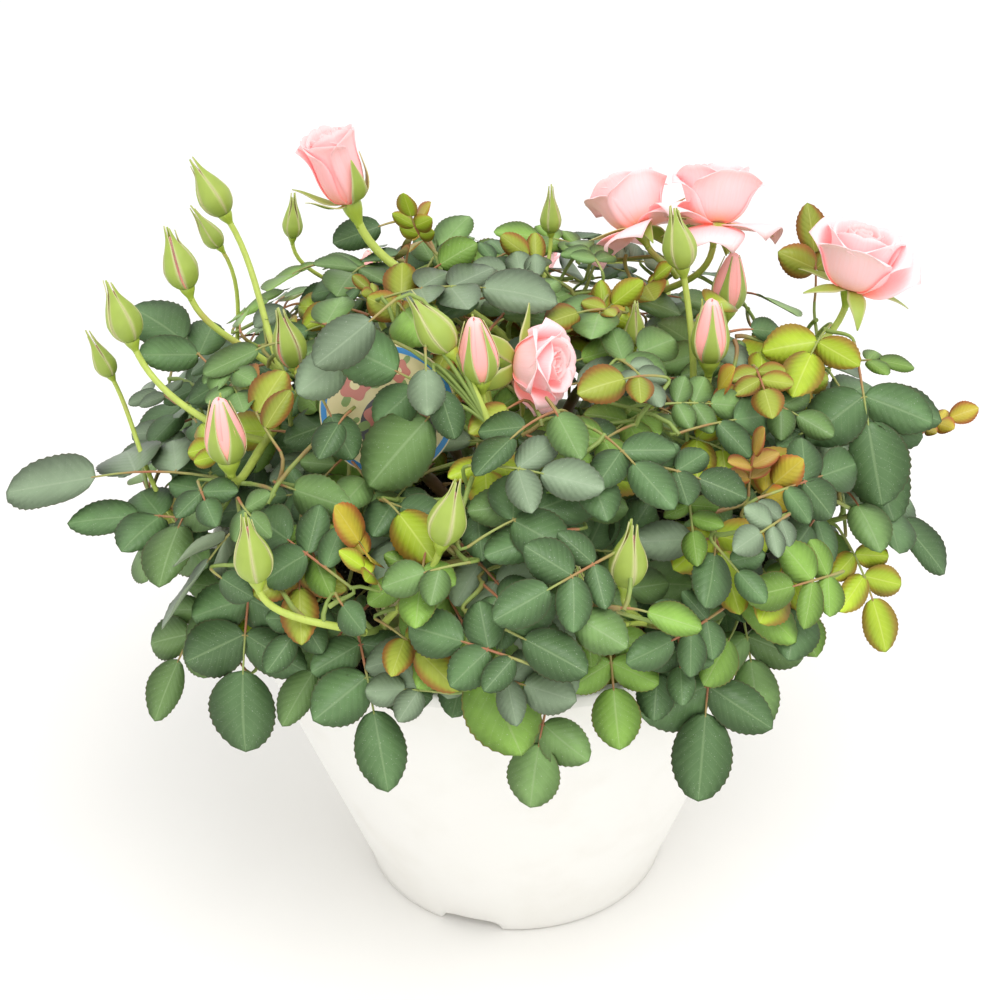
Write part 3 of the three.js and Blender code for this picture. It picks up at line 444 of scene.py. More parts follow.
def twigCurve(start, target, arrive):
    point, along = start
    span = math.dist(point, target)
    leave = unit(along * 0.5 + unit(target - point) * 0.7)
    return np.array([point, point + leave * span * 0.33, target - arrive * span * 0.33, target])


def twigFor(start, made):
    foot, bend, _ = made["rachis"]
    return twigCurve(start, foot, unit(bend - foot))


def noteTwig(mass, index, start, points, radius):
    mass["starts"] = [other for other in mass["starts"] if other is not start]
    addStretches(points, radius, index)
    mass["starts"] += [startAt(points, share) for share in growth["twigStarts"]]


def addSpray(mass, index, made, kept, tint):
    start = nearestStart(mass["starts"], made["rachis"][0])
    twig = twigFor(start, made)
    points = curvePoints(twig, 2 if curveLength(twig) > growth["longTwig"] else 1)
    noteTwig(mass, index, start, np.concatenate([points, made["rachis"][1:]]), growth["twigRadius"])
    for leaf in kept:
        bankAdd(leafBank, leaf["middle"], leaf["length"], index, leaf["outline"])
    mass["leaflets"] += len(kept)
    sprayList.append({"made": made, "kept": kept, "twig": twig, "tint": tint, "scale": 1, "young": False})


def trySpray(mass, index, made, tint, spacing, ownCell):
    kept = [leaf for leaf in made["leaflets"] if leafFits(leaf, index, spacing, ownCell)]
    if not kept or kept[0] is not made["leaflets"][0] or 2 * len(kept) <= len(made["leaflets"]):
        return False
    start = nearestStart(mass["starts"], made["rachis"][0])
    if not curveFits(twigFor(start, made), growth["twigRadius"], index, ownCell):
        return False
    if not curveFits(made["rachis"], growth["rachisRadius"], index, ownCell):
        return False
    addSpray(mass, index, made, kept, tint)
    return True


def growFlower(row):
    kind, turn, reach, height, lean, toward = row
    radius, tall = bloomSizes[kind]
    centre = place(turn, reach, height)
    axis = bearing(toward, lean - 90)
    foot = centre - axis * tall / 2
    index = ownerOf(foot)
    mass = masses[index]
    start = nearestStart(mass["starts"], foot - axis * growth["stalkReach"])
    stalk = twigCurve(start, foot + axis * 1.5, axis)
    noteTwig(mass, index, start, curvePoints(stalk, growth["stalkSteps"]), growth["stalkRadius"])
    bankAdd(bloomBank, centre, max(radius, tall * 0.4))
    flowerList.append({"kind": kind, "foot": foot, "axis": axis, "stalk": stalk})


def namedSpray(row):
    turn, reach, height, heading, droop, leaflets, size, roll, tint = row
    way = bearing(heading, droop)
    hint = turnAbout(upward, way, math.radians(roll))
    return makeSpray(place(turn, reach, height), way, hint, leaflets, size), tint


def growNamedSpray(row):
    made, tint = namedSpray(row)
    index = ownerOf(made["rachis"][2])
    addSpray(masses[index], index, made, made["leaflets"], tint)


# Tints of ordinary sprays: most are mature, and some are young ones with warm edges
def tintOf(kind, grade, level):
    pick = (kind * 7.31 + grade * 3.17) % 1
    young = 0.05 if level < 0.6 else 0.11
    if pick < young:
        return "lime" if pick < young / 2 else "olive"
    pick = (pick - young) / (1 - young)
    return "dark" if pick < 0.4 else "mid" if pick < 0.72 else "grey" if pick < 0.9 else "fresh"


def leafAim(end, swing, tilt):
    outward = unit(end - np.array([0, 0, canopyForm["centre"][2] - 30]))
    face = unit(upward * 0.62 + outward * 0.5)
    heading = turnAbout(squareTo(outward - upward * 0.35, face), face, math.radians(swing))
    return heading, turnAbout(face, heading, math.radians(tilt))


def fillMass(mass, index):
    draw = seededDraws(4021 + 977 * index)
    rows = np.array([[next(draw) for _ in range(7)] for _ in range(growth["attempts"])])
    ends = mass["heart"] + (rows[:, :3] - 0.5) * 2 * growth["cellReach"]
    levels = canopyLevel(ends)
    good = (levels <= growth["shellOuter"]) & (levels >= growth["shellInner"])
    good &= insideOwn(ends, index) >= growth["shellEdge"]
    for end, row, level in zip(ends[good], rows[good], levels[good]):
        if mass["leaflets"] >= growth["quota"][mass["ring"]]:
            break
        heading, face = leafAim(end, (row[3] - 0.5) * growth["swing"], (row[4] - 0.5) * growth["tilt"])
        kind, grade = row[5], row[6]
        count = 3 if kind < 0.18 else 5 if kind < 0.9 else 7
        size = growth["leastLeaf"] + growth["leafSpread"] * grade
        for fewer in range(count, 0, -2):
            scale = 1 - growth["fewerShare"] * (count - fewer)
            made = makeSpray(end, heading, face, fewer, size * scale)
            if trySpray(mass, index, made, tintOf(kind, grade, level), growth["leafSpacing"], True):
                break


def tagFrame():
    form = tagForm
    tilt = math.radians(form["tiltBack"])
    rise = np.array([0, math.sin(tilt), math.cos(tilt)])
    length = (form["centre"][2] - soilTop + form["stakeDepth"]) / rise[2]
    return np.array(form["centre"], float), rise, length


def growPlant():
    form = tagForm
    centre, rise, length = tagFrame()
    for i in range(-3, 4):      # the tag counts as limbs that every leaf keeps clear of
        up = i * form["radius"] / 4
        half = math.sqrt(form["radius"] ** 2 - up * up)
        left = centre + rise * up - np.array([half, 0, 0])
        addStretches([left, left + np.array([2 * half, 0, 0])], form["thickness"], -1)
    addStretches([centre, centre - rise * length], form["stakeWidth"] / 2, -1)
    out = bearing(outlookForm["turn"], -outlookForm["rise"])
    ends = [centre + out * outlookForm[end] for end in ("near", "far")]
    addStretches(ends, outlookForm["radius"], -1)
    for mass in masses:
        addStretches(curvePoints(mass["cane"], caneForm["steps"]), mass["radius"], -1)
    for index, mass in enumerate(masses):
        addStretches(curvePoints(mass["stem"], growth["stemSteps"]), growth["stemRadius"], index)
    for row in flowerRows:
        growFlower(row)
    for row in sprayRows:
        growNamedSpray(row)
    for index, mass in enumerate(masses):
        fillMass(mass, index)


# The same rule carried to finer twigs: more leaves in the same reach, free to cross between masses
fineGrowth = {
    "seed": 611, "attempts": 40000, "leaflets": 1000, "spacing": 5.6, "shellInner": 0.2, "shellOuter": 0.98,
    "leastWanted": 0.25, "fiveShare": 0.8, "leastLeaf": 11, "leafSpread": 12, "swing": 230, "tilt": 70,
    "lowest": 118, "toLight": (-0.05, -0.5, 0.15),
}
shootGrowth = {
    "seed": 97, "count": 130, "size": (7, 13), "spacing": 3, "lift": (0.82, 1.0), "turn": (-180, 180),
    "reach": (20, 130), "sway": (-60, 60), "droop": (-75, -35), "fiveShare": 0.6,
    "tints": ("gold", "lime", "red", "olive"),
}
# Sprays that show from the front, most of them before the tag: rows as in sprayRows, and the twig's side
coverRows = [
    ((-26, 75, 227, -81, -33, 1, 21, -55, "dark"), 1), ((-20, 72, 212, -61, 38, 1, 27, -30, "mid"), 1),
    ((-36, 86, 212, -33, 28, 1, 13, 0, "dark"), -1), ((-30, 83, 190, 33, 30, 3, 17, 0, "mid"), 1),
    ((-25, 82, 189, -30, 16, 3, 15, 0, "dark"), 1), ((-23, 91, 180, -15, 33, 3, 17, 0, "grey"), -1),
    ((-20, 72, 228, 0, 71, 1, 14, -3, "grey"), 1), ((-24, 70, 220, -71, 38, 1, 16, -61, "dark"), 1),
    ((-17, 71, 221, 35, 61, 1, 15, 30, "dark"), 1), ((-30, 79, 244, -66, 33, 1, 21, -58, "grey"), 1),
    ((-36, 82, 231, -66, 26, 1, 17, -58, "grey"), 1), ((-39, 85, 213, 46, 55, 1, 15, 30, "dark"), -1),
    ((70, 119, 195, 13, 57, 3, 27, 20, "dark"), 1), ((46, 100, 199, 20, -72, 5, 11, 0, "red"), 1),
    ((49, 104, 188, 70, -50, 3, 13, 40, "gold"), 1), ((-117, 47, 240, -74, 14, 1, 17, -40, "dark"), 1),
    ((-90, 22, 234, 90, -33, 1, 14, 50, "fresh"), 1), ((-98, 31, 249, -30, -66, 5, 10, 180, "lime"), 1),
    ((160, 21, 229, -80, -40, 3, 12, -50, "olive"), 1), ((90, 34, 219, 90, -40, 3, 13, 50, "lime"), 1),
]
ruledScale = 0.86      # the source's leaves are larger than life
# Places that stay open to the sky, with their radius
skyGaps = [
    ((-119, -45, 141), 20), ((31, 62, 196), 13), ((111, -35, 152), 17), ((98, -60, 138), 15),
    ((-73, 0, 223), 14), ((-114, -30, 173), 12), ((32, -92, 145), 14), ((59, -88, 146), 12),
    ((-65, -78, 143), 11), ((-48, -95, 147), 9), ((-125, -16, 163), 16), ((-107, -70, 151), 13),
    ((103, -50, 174), 13), ((87, -88, 152), 8), ((80, 3, 213), 12), ((90, 62, 188), 13), ((22, 4, 222), 13),
    ((24, 42, 213), 13), ((26, 76, 192), 14), ((31, 108, 187), 15),
]
youngTop = {"above": 196, "share": 0.3, "tints": ("fresh", "olive", "lime", "fresh", "olive")}


def isOpen(point):
    return any(math.dist(point, centre) < radius for centre, radius in skyGaps)


def inGap(spray):
    return any(isOpen(leaf["middle"]) for leaf in spray["leaflets"])


def growFiner():
    form = fineGrowth
    rng = np.random.default_rng(form["seed"])
    centre = np.array(canopyForm["centre"], float)
    spans = np.array([canopyForm["across"], canopyForm["deep"], canopyForm["above"]])
    ends = centre + rng.uniform(-1, 1, (form["attempts"], 3)) * spans
    levels = canopyLevel(ends)
    wanted = rng.uniform(0, 1, len(ends)) < form["leastWanted"] + levels
    good = (levels > form["shellInner"]) & (levels < form["shellOuter"]) & wanted
    grown = 0
    for end, level in zip(ends[good & (ends[:, 2] > form["lowest"])], levels[good]):
        if grown >= form["leaflets"]:
            break
        swing, tilt, kind, grade = rng.uniform(0, 1, 4)
        heading, face = leafAim(end, (swing - 0.5) * form["swing"], (tilt - 0.5) * form["tilt"])
        face = face + np.array(form["toLight"])
        index = ownerOf(end)
        size = form["leastLeaf"] + form["leafSpread"] * grade
        tint = tintOf(kind, grade, level)
        if end[2] > youngTop["above"] and swing < youngTop["share"]:
            tint = youngTop["tints"][int(5 * tilt)]
        for fewer in range(5 if kind < form["fiveShare"] else 3, 0, -2):
            made = makeSpray(end, heading, face, fewer, size)
            if inGap(made):
                continue
            before = masses[index]["leaflets"]
            if trySpray(masses[index], index, made, tint, form["spacing"], False):
                grown += masses[index]["leaflets"] - before
                break


# Small upright shoots with young leaves, near the top of the canopy
def growShoots():
    form = shootGrowth
    rng = np.random.default_rng(form["seed"])
    for _ in range(form["count"]):
        turn, reach, lift = (rng.uniform(*form[key]) for key in ("turn", "reach", "lift"))
        end = place(turn, reach, 0)
        x, y = (end[:2] - canopyForm["centre"][:2]) / (canopyForm["across"], canopyForm["deep"])
        rise = math.sqrt(max(0.02, lift - x * x - y * y))
        end[2] = canopyForm["centre"][2] + rise * canopyForm["above"]
        index = ownerOf(end)
        way = bearing(turn + rng.uniform(*form["sway"]), rng.uniform(*form["droop"]))
        size = rng.uniform(*form["size"])
        count = 5 if rng.uniform() < form["fiveShare"] else 3
        spray = makeSpray(end, way, unit(upward + way * 0.2), count, size)
        tint = form["tints"][int(rng.integers(0, 4))]
        if not inGap(spray) and trySpray(masses[index], index, spray, tint, form["spacing"], False):
            sprayList[-1]["young"] = True


# A spray before the tag, on a limb to the left or the right of it
def growCover(row, side):
    made, tint = namedSpray(row)
    edge = tagForm["centre"][0] + side * (tagForm["radius"] + 2)
    beside = [start for mass in masses for start in mass["starts"] if side * (start[0][0] - edge) > 0]
    addSpray({"starts": beside, "leaflets": 0}, ownerOf(made["rachis"][2]), made, made["leaflets"], tint)


growPlant()
ruled = sum(mass["leaflets"] for mass in masses)
for spray in sprayList[len(sprayRows):]:
    spray["scale"] = ruledScale
    spray["kept"] = [leaf for leaf in spray["kept"] if not isOpen(leaf["middle"])]
sprayList[:] = [spray for spray in sprayList if spray["kept"]]
# The outermost spray has leaves on one side only, as in the photo
sprayList[0]["kept"] = [leaf for leaf in sprayList[0]["kept"] if leaf["hand"] >= 0]
print("the source's rule placed", ruled, "leaflets")
for row, side in coverRows:
    growCover(row, side)
growFiner()
growShoots()
print("finer growth added", sum(mass["leaflets"] for mass in masses) - ruled, "leaflets")


def newPiece(name, mesh):
    piece = bpy.data.objects.new(name, mesh)
    bpy.context.scene.collection.objects.link(piece)
    return piece


def finishPiece(piece, slot, *nodes):
    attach(piece, "root")
    if nodes:
        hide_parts(*nodes)
    return piece


def newMesh(name, points, faces, edges=()):
    mesh = bpy.data.meshes.new(name)
    mesh.from_pydata(points, edges, faces)
    return mesh


# Gives each corner of a mesh the place on the map of its point
def addMap(mesh, uvs):
    corners = np.zeros(len(mesh.loops), np.int32)
    mesh.loops.foreach_get("vertex_index", corners)
    mesh.uv_layers.new(name="surface").data.foreach_set("uv", uvs[corners].ravel())


# Points, faces, UVs, material numbers and shades that are joined into one mesh
def newStock():
    return {"points": [], "faces": [], "uvs": [], "marks": [], "shades": [], "count": 0}


def stockAdd(stock, points, faces, uvs, mark=0, shade=0.5):
    stock["points"].append(points)
    stock["faces"] += [[i + stock["count"] for i in face] for face in faces]
    stock["uvs"].append(uvs)
    stock["marks"] += [mark] * len(faces)
    stock["shades"].append(np.full(len(points), shade))
    stock["count"] += len(points)


def meshOf(name, stock, finishes):
    mesh = newMesh(name, np.concatenate(stock["points"]) * mm, stock["faces"])
    addMap(mesh, np.concatenate(stock["uvs"]))
    shade = mesh.attributes.new("shade", "FLOAT", "POINT")
    shade.data.foreach_set("value", np.concatenate(stock["shades"]))
    for finish in finishes:
        mesh.materials.append(skins[finish])
    mesh.polygons.foreach_set("material_index", stock["marks"])
    mesh.shade_smooth()
    return mesh


# A piece made of one stock; edges sharper than an angle in degrees can stay sharp
def stockPiece(name, stock, finishes, slot, *nodes, sharp=None):
    mesh = meshOf(name, stock, finishes)
    if sharp:
        mesh.set_sharp_from_angle(angle=math.radians(sharp))
    return finishPiece(newPiece(name, mesh), slot, *nodes)


def ringAngles(sides):
    return 2 * math.pi * np.arange(sides) / sides


# Bands of faces between rings of points, and the two ends of a limb of such rings
def bandFaces(bands, sides, first=0):
    band, side = np.divmod(np.arange(bands * sides), sides)
    a, b = first + band * sides + side, first + band * sides + (side + 1) % sides
    return np.stack([a, b, b + sides, a + sides], 1).tolist()


def endFaces(rings, sides):
    last = (rings - 1) * sides
    return [tuple(range(sides - 1, -1, -1)), tuple(range(last, last + sides))]


# A grid of points as a thin closed sheet
def sheetAdd(stock, grid, thickness, shade=0.5):
    rows, cols = grid.shape[:2]
    normal = np.cross(np.gradient(grid, axis=1), np.gradient(grid, axis=0))
    normal /= np.maximum(np.linalg.norm(normal, axis=2, keepdims=True), 1e-9)
    over, below = grid + normal * thickness / 2, grid - normal * thickness / 2
    index = np.arange(rows * cols).reshape(rows, cols)
    under = index + rows * cols
    faces = []
    for i in range(rows - 1):
        for j in range(cols - 1):
            faces.append((index[i, j], index[i, j + 1], index[i + 1, j + 1], index[i + 1, j]))
            faces.append((under[i, j], under[i + 1, j], under[i + 1, j + 1], under[i, j + 1]))
    rim = list(index[0]) + list(index[1:, -1]) + list(index[-1, -2::-1]) + list(index[-2:0:-1, 0])
    for low, high in zip(rim, rim[1:] + rim[:1]):
        faces.append((low, low + rows * cols, high + rows * cols, high))
    u, v = np.meshgrid(np.linspace(0, 1, cols), np.linspace(0, 1, rows))
    uvs = np.tile(np.stack([u.ravel(), v.ravel()], 1), (2, 1))
    stockAdd(stock, np.concatenate([over, below]).reshape(-1, 3), faces, uvs, 0, shade)


# A round limb through points, closed at both ends
def limbAdd(stock, points, radii, sides, shade=0.5, relief=None):
    side = np.array([0.31, 0.83, 0.46])
    angles = ringAngles(sides)
    rows, lengths = [], [0.0]
    for i, centre in enumerate(points):
        along = unit(points[min(len(points) - 1, i + 1)] - points[max(0, i - 1)])
        side = squareTo(side, along)
        other = cross(along, side)
        reach = radii[i] * (1 + (relief(angles, i) if relief else 0))
        x, y = (np.cos(angles) * reach)[:, None], (np.sin(angles) * reach)[:, None]
        rows.append(centre + x * side + y * other)
        if i:
            lengths.append(lengths[-1] + math.dist(points[i - 1], centre))
    u = np.tile(np.abs(2 * np.arange(sides) / sides - 1), len(points))
    uvs = np.stack([u, np.repeat(lengths, sides)], 1)
    faces = endFaces(len(points), sides) + bandFaces(len(points) - 1, sides)
    stockAdd(stock, np.concatenate(rows), faces, uvs, 0, shade)


# A node with its settings, and its inputs fed with numbers, colours or links
def newNode(tree, kind, inputs=(), **settings):
    node = tree.nodes.new(kind)
    for name, value in settings.items():
        setattr(node, name, value)
    for key, value in dict(inputs).items():
        socket = node.inputs[key]
        if isinstance(value, bpy.types.NodeSocket):
            tree.links.new(value, socket)
        else:
            socket.default_value = (*value, 1) if socket.type == "RGBA" else value
    return node


# Node trees for shapes that repeat or follow a path
def newTree(name, inputs):
    tree = bpy.data.node_groups.new(name, "GeometryNodeTree")
    tree.interface.new_socket("Geometry", in_out="INPUT", socket_type="NodeSocketGeometry")
    tree.interface.new_socket("Geometry", in_out="OUTPUT", socket_type="NodeSocketGeometry")
    for label, kind in inputs.items():
        tree.interface.new_socket(label, in_out="INPUT", socket_type="NodeSocket" + kind)
    return tree, newNode(tree, "NodeGroupInput").outputs


def namedField(tree, name, kind):
    node = newNode(tree, "GeometryNodeInputNamedAttribute", {"Name": name}, data_type=kind)
    return node.outputs["Attribute"]


# The last two steps of a geometry tree: real faces, and a material on them or on some of them
def paintFaces(tree, geometry, material, selection=True):
    inputs = {"Geometry": geometry, "Material": material, "Selection": selection}
    return newNode(tree, "GeometryNodeSetMaterial", inputs).outputs["Geometry"]


def realFaces(tree, geometry):
    return newNode(tree, "GeometryNodeRealizeInstances", {"Geometry": geometry}).outputs["Geometry"]


# Gives a piece's points to a tree and keeps the result as a plain mesh
def grownMesh(piece, tree, values):
    modifier = piece.modifiers.new(tree.name, "NODES")
    modifier.node_group = tree
    for item in tree.interface.items_tree:
        if item.in_out == "INPUT" and item.name in values:
            modifier[item.identifier] = values[item.name]
    evaluated = piece.evaluated_get(bpy.context.evaluated_depsgraph_get())
    mesh = bpy.data.meshes.new_from_object(evaluated)
    piece.modifiers.clear()
    mesh.name = piece.name
    piece.data = mesh
    return piece


def pointMesh(name, points, fields, edges=()):
    mesh = newMesh(name, np.asarray(points, float) * mm, [], list(edges))
    for label, (kind, values) in fields.items():
        field = mesh.attributes.new(label, kind, "POINT")
        field.data.foreach_set("vector" if kind == "FLOAT_VECTOR" else "value", np.ravel(values))
    return mesh


# Shapes set on points with their own turn, size and choice of shape; region 1 of a shape is its underside
def scatterTree():
    inputs = {"Shapes": "Collection", "Blade": "Material", "Underside": "Material"}
    tree, given = newTree("scatterShapes", inputs)
    shapes = newNode(tree, "GeometryNodeCollectionInfo", {
        "Collection": given["Shapes"], "Separate Children": True, "Reset Children": True,
    })
    scatter = newNode(tree, "GeometryNodeInstanceOnPoints", {
        "Points": given["Geometry"], "Instance": shapes.outputs["Instances"], "Pick Instance": True,
        "Instance Index": namedField(tree, "shape", "INT"),
        "Rotation": namedField(tree, "turn", "FLOAT_VECTOR"), "Scale": namedField(tree, "size", "FLOAT"),
    })
    region = {2: namedField(tree, "region", "INT"), 3: 1}
    under = newNode(tree, "FunctionNodeCompare", region, data_type="INT", operation="EQUAL")
    painted = paintFaces(tree, realFaces(tree, scatter.outputs["Instances"]), given["Blade"])
    both = paintFaces(tree, painted, given["Underside"], under.outputs["Result"])
    newNode(tree, "NodeGroupOutput", {"Geometry": both})
    return tree


# Round stems along a net of edges, with the girth of each point
def stemTree():
    tree, given = newTree("growStems", {"Sides": "Int", "Bark": "Material"})
    girth = namedField(tree, "girth", "FLOAT")
    curve = newNode(tree, "GeometryNodeMeshToCurve", {"Mesh": given["Geometry"]}).outputs["Curve"]
    thick = newNode(tree, "GeometryNodeSetCurveRadius", {"Curve": curve, "Radius": girth}).outputs["Curve"]
    ring = newNode(tree, "GeometryNodeCurvePrimitiveCircle", {"Resolution": given["Sides"], "Radius": 1})
    tube = newNode(tree, "GeometryNodeCurveToMesh", {
        "Curve": thick, "Profile Curve": ring.outputs["Curve"], "Scale": girth, "Fill Caps": True,
    })
    smooth = newNode(tree, "GeometryNodeSetShadeSmooth", {"Geometry": tube.outputs["Mesh"]})
    solid = realFaces(tree, smooth.outputs["Geometry"])
    newNode(tree, "NodeGroupOutput", {"Geometry": paintFaces(tree, solid, given["Bark"])})
    return tree


scatterShapes = scatterTree()
growStems = stemTree()


# Shader groups that several finishes share
def newGroup(name, inputs):
    group = bpy.data.node_groups.new(name, "ShaderNodeTree")
    for label, value in inputs.items():
        socket = group.interface.new_socket(label, in_out="INPUT", socket_type="NodeSocketFloat")
        socket.default_value = value
    return group, newNode(group, "NodeGroupInput").outputs


def endGroup(group, results):
    for label in results:
        group.interface.new_socket(label, in_out="OUTPUT", socket_type="NodeSocketFloat")
    newNode(group, "NodeGroupOutput", results)
    return group


def mathNode(tree, operation, *values):
    return newNode(tree, "ShaderNodeMath", enumerate(values), operation=operation).outputs[0]


def mixColour(tree, factor, first, second):
    return newNode(tree, "ShaderNodeMix", {0: factor, 6: first, 7: second}, data_type="RGBA").outputs[2]


def noiseValue(tree, coordinates, scale, detail=3, stretch=None):
    if stretch:
        mapping = newNode(tree, "ShaderNodeMapping", {"Scale": stretch, "Vector": coordinates})
        coordinates = mapping.outputs["Vector"]
    inputs = {"Detail": detail, "Scale": scale, "Vector": coordinates}
    return newNode(tree, "ShaderNodeTexNoise", inputs).outputs["Fac"]


def spread(tree, value, low, high):
    ends = {"Value": value, "From Min": low, "From Max": high}
    return newNode(tree, "ShaderNodeMapRange", ends, interpolation_type="SMOOTHSTEP").outputs["Result"]


def objectPlace(tree):
    return newNode(tree, "ShaderNodeTexCoord").outputs["Object"]


def splitUp(tree, vector):
    return newNode(tree, "ShaderNodeSeparateXYZ", {0: vector}).outputs


def surfacePlace(tree):
    return newNode(tree, "ShaderNodeUVMap", uv_map="surface").outputs["UV"]


# How far a point lies from a leaf's or a sepal's midrib: 0 on it, 1 at the margin
def fromMidrib(tree, parts):
    return mathNode(tree, "ABSOLUTE", mathNode(tree, "MULTIPLY_ADD", parts[0], 2, -1))


# Midrib, side veins, margin, mottling and pale specks of a leaflet, from its own UV map; the specks are
# partly dust and partly painted glints
veinForm = {
    "count": 9.0, "slant": 0.32, "marginWidth": 0.08, "edge": (0.40, 0.5), "fade": (0.55, 1.0),
    "share": 0.35, "midrib": (0.012, 0.065), "midribDepth": 0.6, "mottle": 130, "dust": 2600,
    "dustAndGlintFrom": (0.68, 0.78),
}


def leafDetailGroup():
    form = veinForm
    group, given = newGroup("leafDetail", {
        "Vein count": form["count"], "Vein slant": form["slant"],
        "Margin width": form["marginWidth"],
    })
    parts = splitUp(group, surfacePlace(group))
    across = fromMidrib(group, parts)
    along = mathNode(group, "SUBTRACT", parts[1], mathNode(group, "MULTIPLY", across, given["Vein slant"]))
    phase = mathNode(group, "FRACT", mathNode(group, "MULTIPLY", along, given["Vein count"]))
    near = mathNode(group, "ABSOLUTE", mathNode(group, "SUBTRACT", phase, 0.5))
    side = spread(group, near, *form["edge"])
    fade = mathNode(group, "SUBTRACT", 1, spread(group, across, *form["fade"]))
    side = mathNode(group, "MULTIPLY", side, fade)
    midrib = mathNode(group, "SUBTRACT", 1, spread(group, across, *form["midrib"]))
    veins = mathNode(group, "MAXIMUM", mathNode(group, "MULTIPLY", side, form["share"]), midrib)
    inner = mathNode(group, "SUBTRACT", 0.99, given["Margin width"])
    margin = spread(group, across, inner, 1.0)
    at = objectPlace(group)
    mottle = noiseValue(group, at, form["mottle"])
    puff = mathNode(group, "MULTIPLY", mathNode(group, "SUBTRACT", 0.5, near), fade)
    height = mathNode(group, "SUBTRACT", puff, mathNode(group, "MULTIPLY", midrib, form["midribDepth"]))
    # Fine pale specks: partly dust, partly painted glints of light
    dust = spread(group, noiseValue(group, at, form["dust"], 1), *form["dustAndGlintFrom"])
    results = {"Veins": veins, "Margin": margin, "Mottle": mottle, "Height": height, "Dust": dust}
    return endGroup(group, results)


# Streaks and patches of a bark or a stem skin
def barkDetailGroup():
    group, given = newGroup("barkDetail", {"Grain": 260.0, "Patches": 55.0})
    at = objectPlace(group)
    streaks = noiseValue(group, at, given["Grain"], 4, (1, 1, 0.22))
    blotches = noiseValue(group, at, given["Patches"], 2)
    height = mathNode(group, "MULTIPLY_ADD", blotches, 0.4, streaks)
    return endGroup(group, {"Streaks": streaks, "Blotches": blotches, "Height": height})


leafDetail = leafDetailGroup()
barkDetail = barkDetailGroup()
skins = {}     # every finish by its name


def newMaterial(name, roughness, **values):
    material = bpy.data.materials.new(name)
    material.use_nodes = True
    skins[name] = material
    tree = material.node_tree
    shader = tree.nodes["Principled BSDF"]
    shader.inputs["Roughness"].default_value = roughness
    for label, value in values.items():
        shader.inputs[label.replace("_", " ")].default_value = value
    return tree, shader


def placeGroup(tree, group, **values):
    inputs = {label.replace("_", " "): value for label, value in values.items()}
    return newNode(tree, "ShaderNodeGroup", inputs, node_tree=group).outputs


# Gives a shader its colour and its fine relief
def dress(tree, shader, colour, height, strength, distance):
    tree.links.new(colour, shader.inputs["Base Color"])
    bump = newNode(tree, "ShaderNodeBump", {"Strength": strength, "Distance": distance, "Height": height})
    tree.links.new(bump.outputs["Normal"], shader.inputs["Normal"])


def shadeField(tree):
    return newNode(tree, "ShaderNodeAttribute", attribute_name="shade").outputs["Fac"]


def scaled(colour, factor):
    return tuple(min(1, c * factor) for c in colour)


def blended(first, second, share):
    return tuple((1 - share) * a + share * b for a, b in zip(first, second))


# Leaf tints: blade, veins, margin, and how strong the margin shows
leafTints = {
    "dark": ((0.118, 0.218, 0.082), (0.25, 0.36, 0.17), (0.17, 0.11, 0.06), 0.45),
    "mid": ((0.195, 0.335, 0.105), (0.31, 0.43, 0.20), (0.22, 0.13, 0.06), 0.4),
    "grey": ((0.260, 0.355, 0.215), (0.33, 0.42, 0.27), (0.20, 0.14, 0.09), 0.4),
    "fresh": ((0.245, 0.435, 0.075), (0.38, 0.52, 0.19), (0.38, 0.15, 0.06), 0.55),
    "olive": ((0.385, 0.450, 0.055), (0.55, 0.60, 0.17), (0.62, 0.17, 0.06), 0.75),
    "lime": ((0.450, 0.600, 0.038), (0.64, 0.72, 0.18), (0.70, 0.25, 0.08), 0.6),
    "gold": ((0.640, 0.520, 0.055), (0.70, 0.62, 0.18), (0.78, 0.20, 0.07), 0.85),
    "red": ((0.530, 0.350, 0.070), (0.60, 0.42, 0.14), (0.64, 0.13, 0.06), 0.85),
}
youngTints = ("olive", "lime", "gold", "red")
# Of these, the dust share and its colour give pale specks on mature leaves: partly dust, partly painted
# glints
leafFinish = {
    "roughness": 0.42, "underRoughness": 0.62, "youngRoughness": 0.38, "shine": 0.34, "bump": 0.17,
    "depth": 0.0006, "veins": 8.0, "margin": 0.07, "youngMargin": 0.55, "shades": (0.66, 1.3),
    "spots": 0.80, "spotsFrom": (0.35, 0.75), "spotShare": 0.6, "veinShare": 0.45, "dust": 0.4,
    "dustAndGlintColour": (0.62, 0.66, 0.56), "underEdge": 0.6, "underBlade": (0.34, 0.40, 0.27),
    "underVein": (0.44, 0.48, 0.34),
}


def leafMaterial(name, tint, under):
    form, young = leafFinish, name in youngTints
    blade, vein, margin, edge = tint
    rough = form["underRoughness"] if under else form["youngRoughness" if young else "roughness"]
    fullName = ("under_" if under else "leaf_") + name
    tree, shader = newMaterial(fullName, rough, Specular_IOR_Level=form["shine"])
    width = form["youngMargin" if young else "margin"]
    detail = placeGroup(tree, leafDetail, Vein_count=form["veins"], Margin_width=width)
    if under:
        blade = blended(blade, form["underBlade"], 0.5)
        vein = blended(vein, form["underVein"], 0.6)
        edge *= form["underEdge"]
    shaded = mixColour(tree, shadeField(tree), *(scaled(blade, factor) for factor in form["shades"]))
    spots = spread(tree, detail["Mottle"], *form["spotsFrom"])
    spotted = mixColour(tree, spots, scaled(blade, form["spots"]), shaded)
    mixed = mixColour(tree, form["spotShare"], shaded, spotted)
    veined = mixColour(tree, mathNode(tree, "MULTIPLY", detail["Veins"], form["veinShare"]), mixed, vein)
    edged = mixColour(tree, mathNode(tree, "MULTIPLY", detail["Margin"], edge), veined, margin)
    # Pale specks mixed into the colour: partly dust, partly painted glints of light
    dust = mathNode(tree, "MULTIPLY", detail["Dust"], 0 if young else form["dust"])
    colour = mixColour(tree, dust, edged, form["dustAndGlintColour"])
    dress(tree, shader, colour, detail["Height"], form["bump"] * (-1 if under else 1), form["depth"])


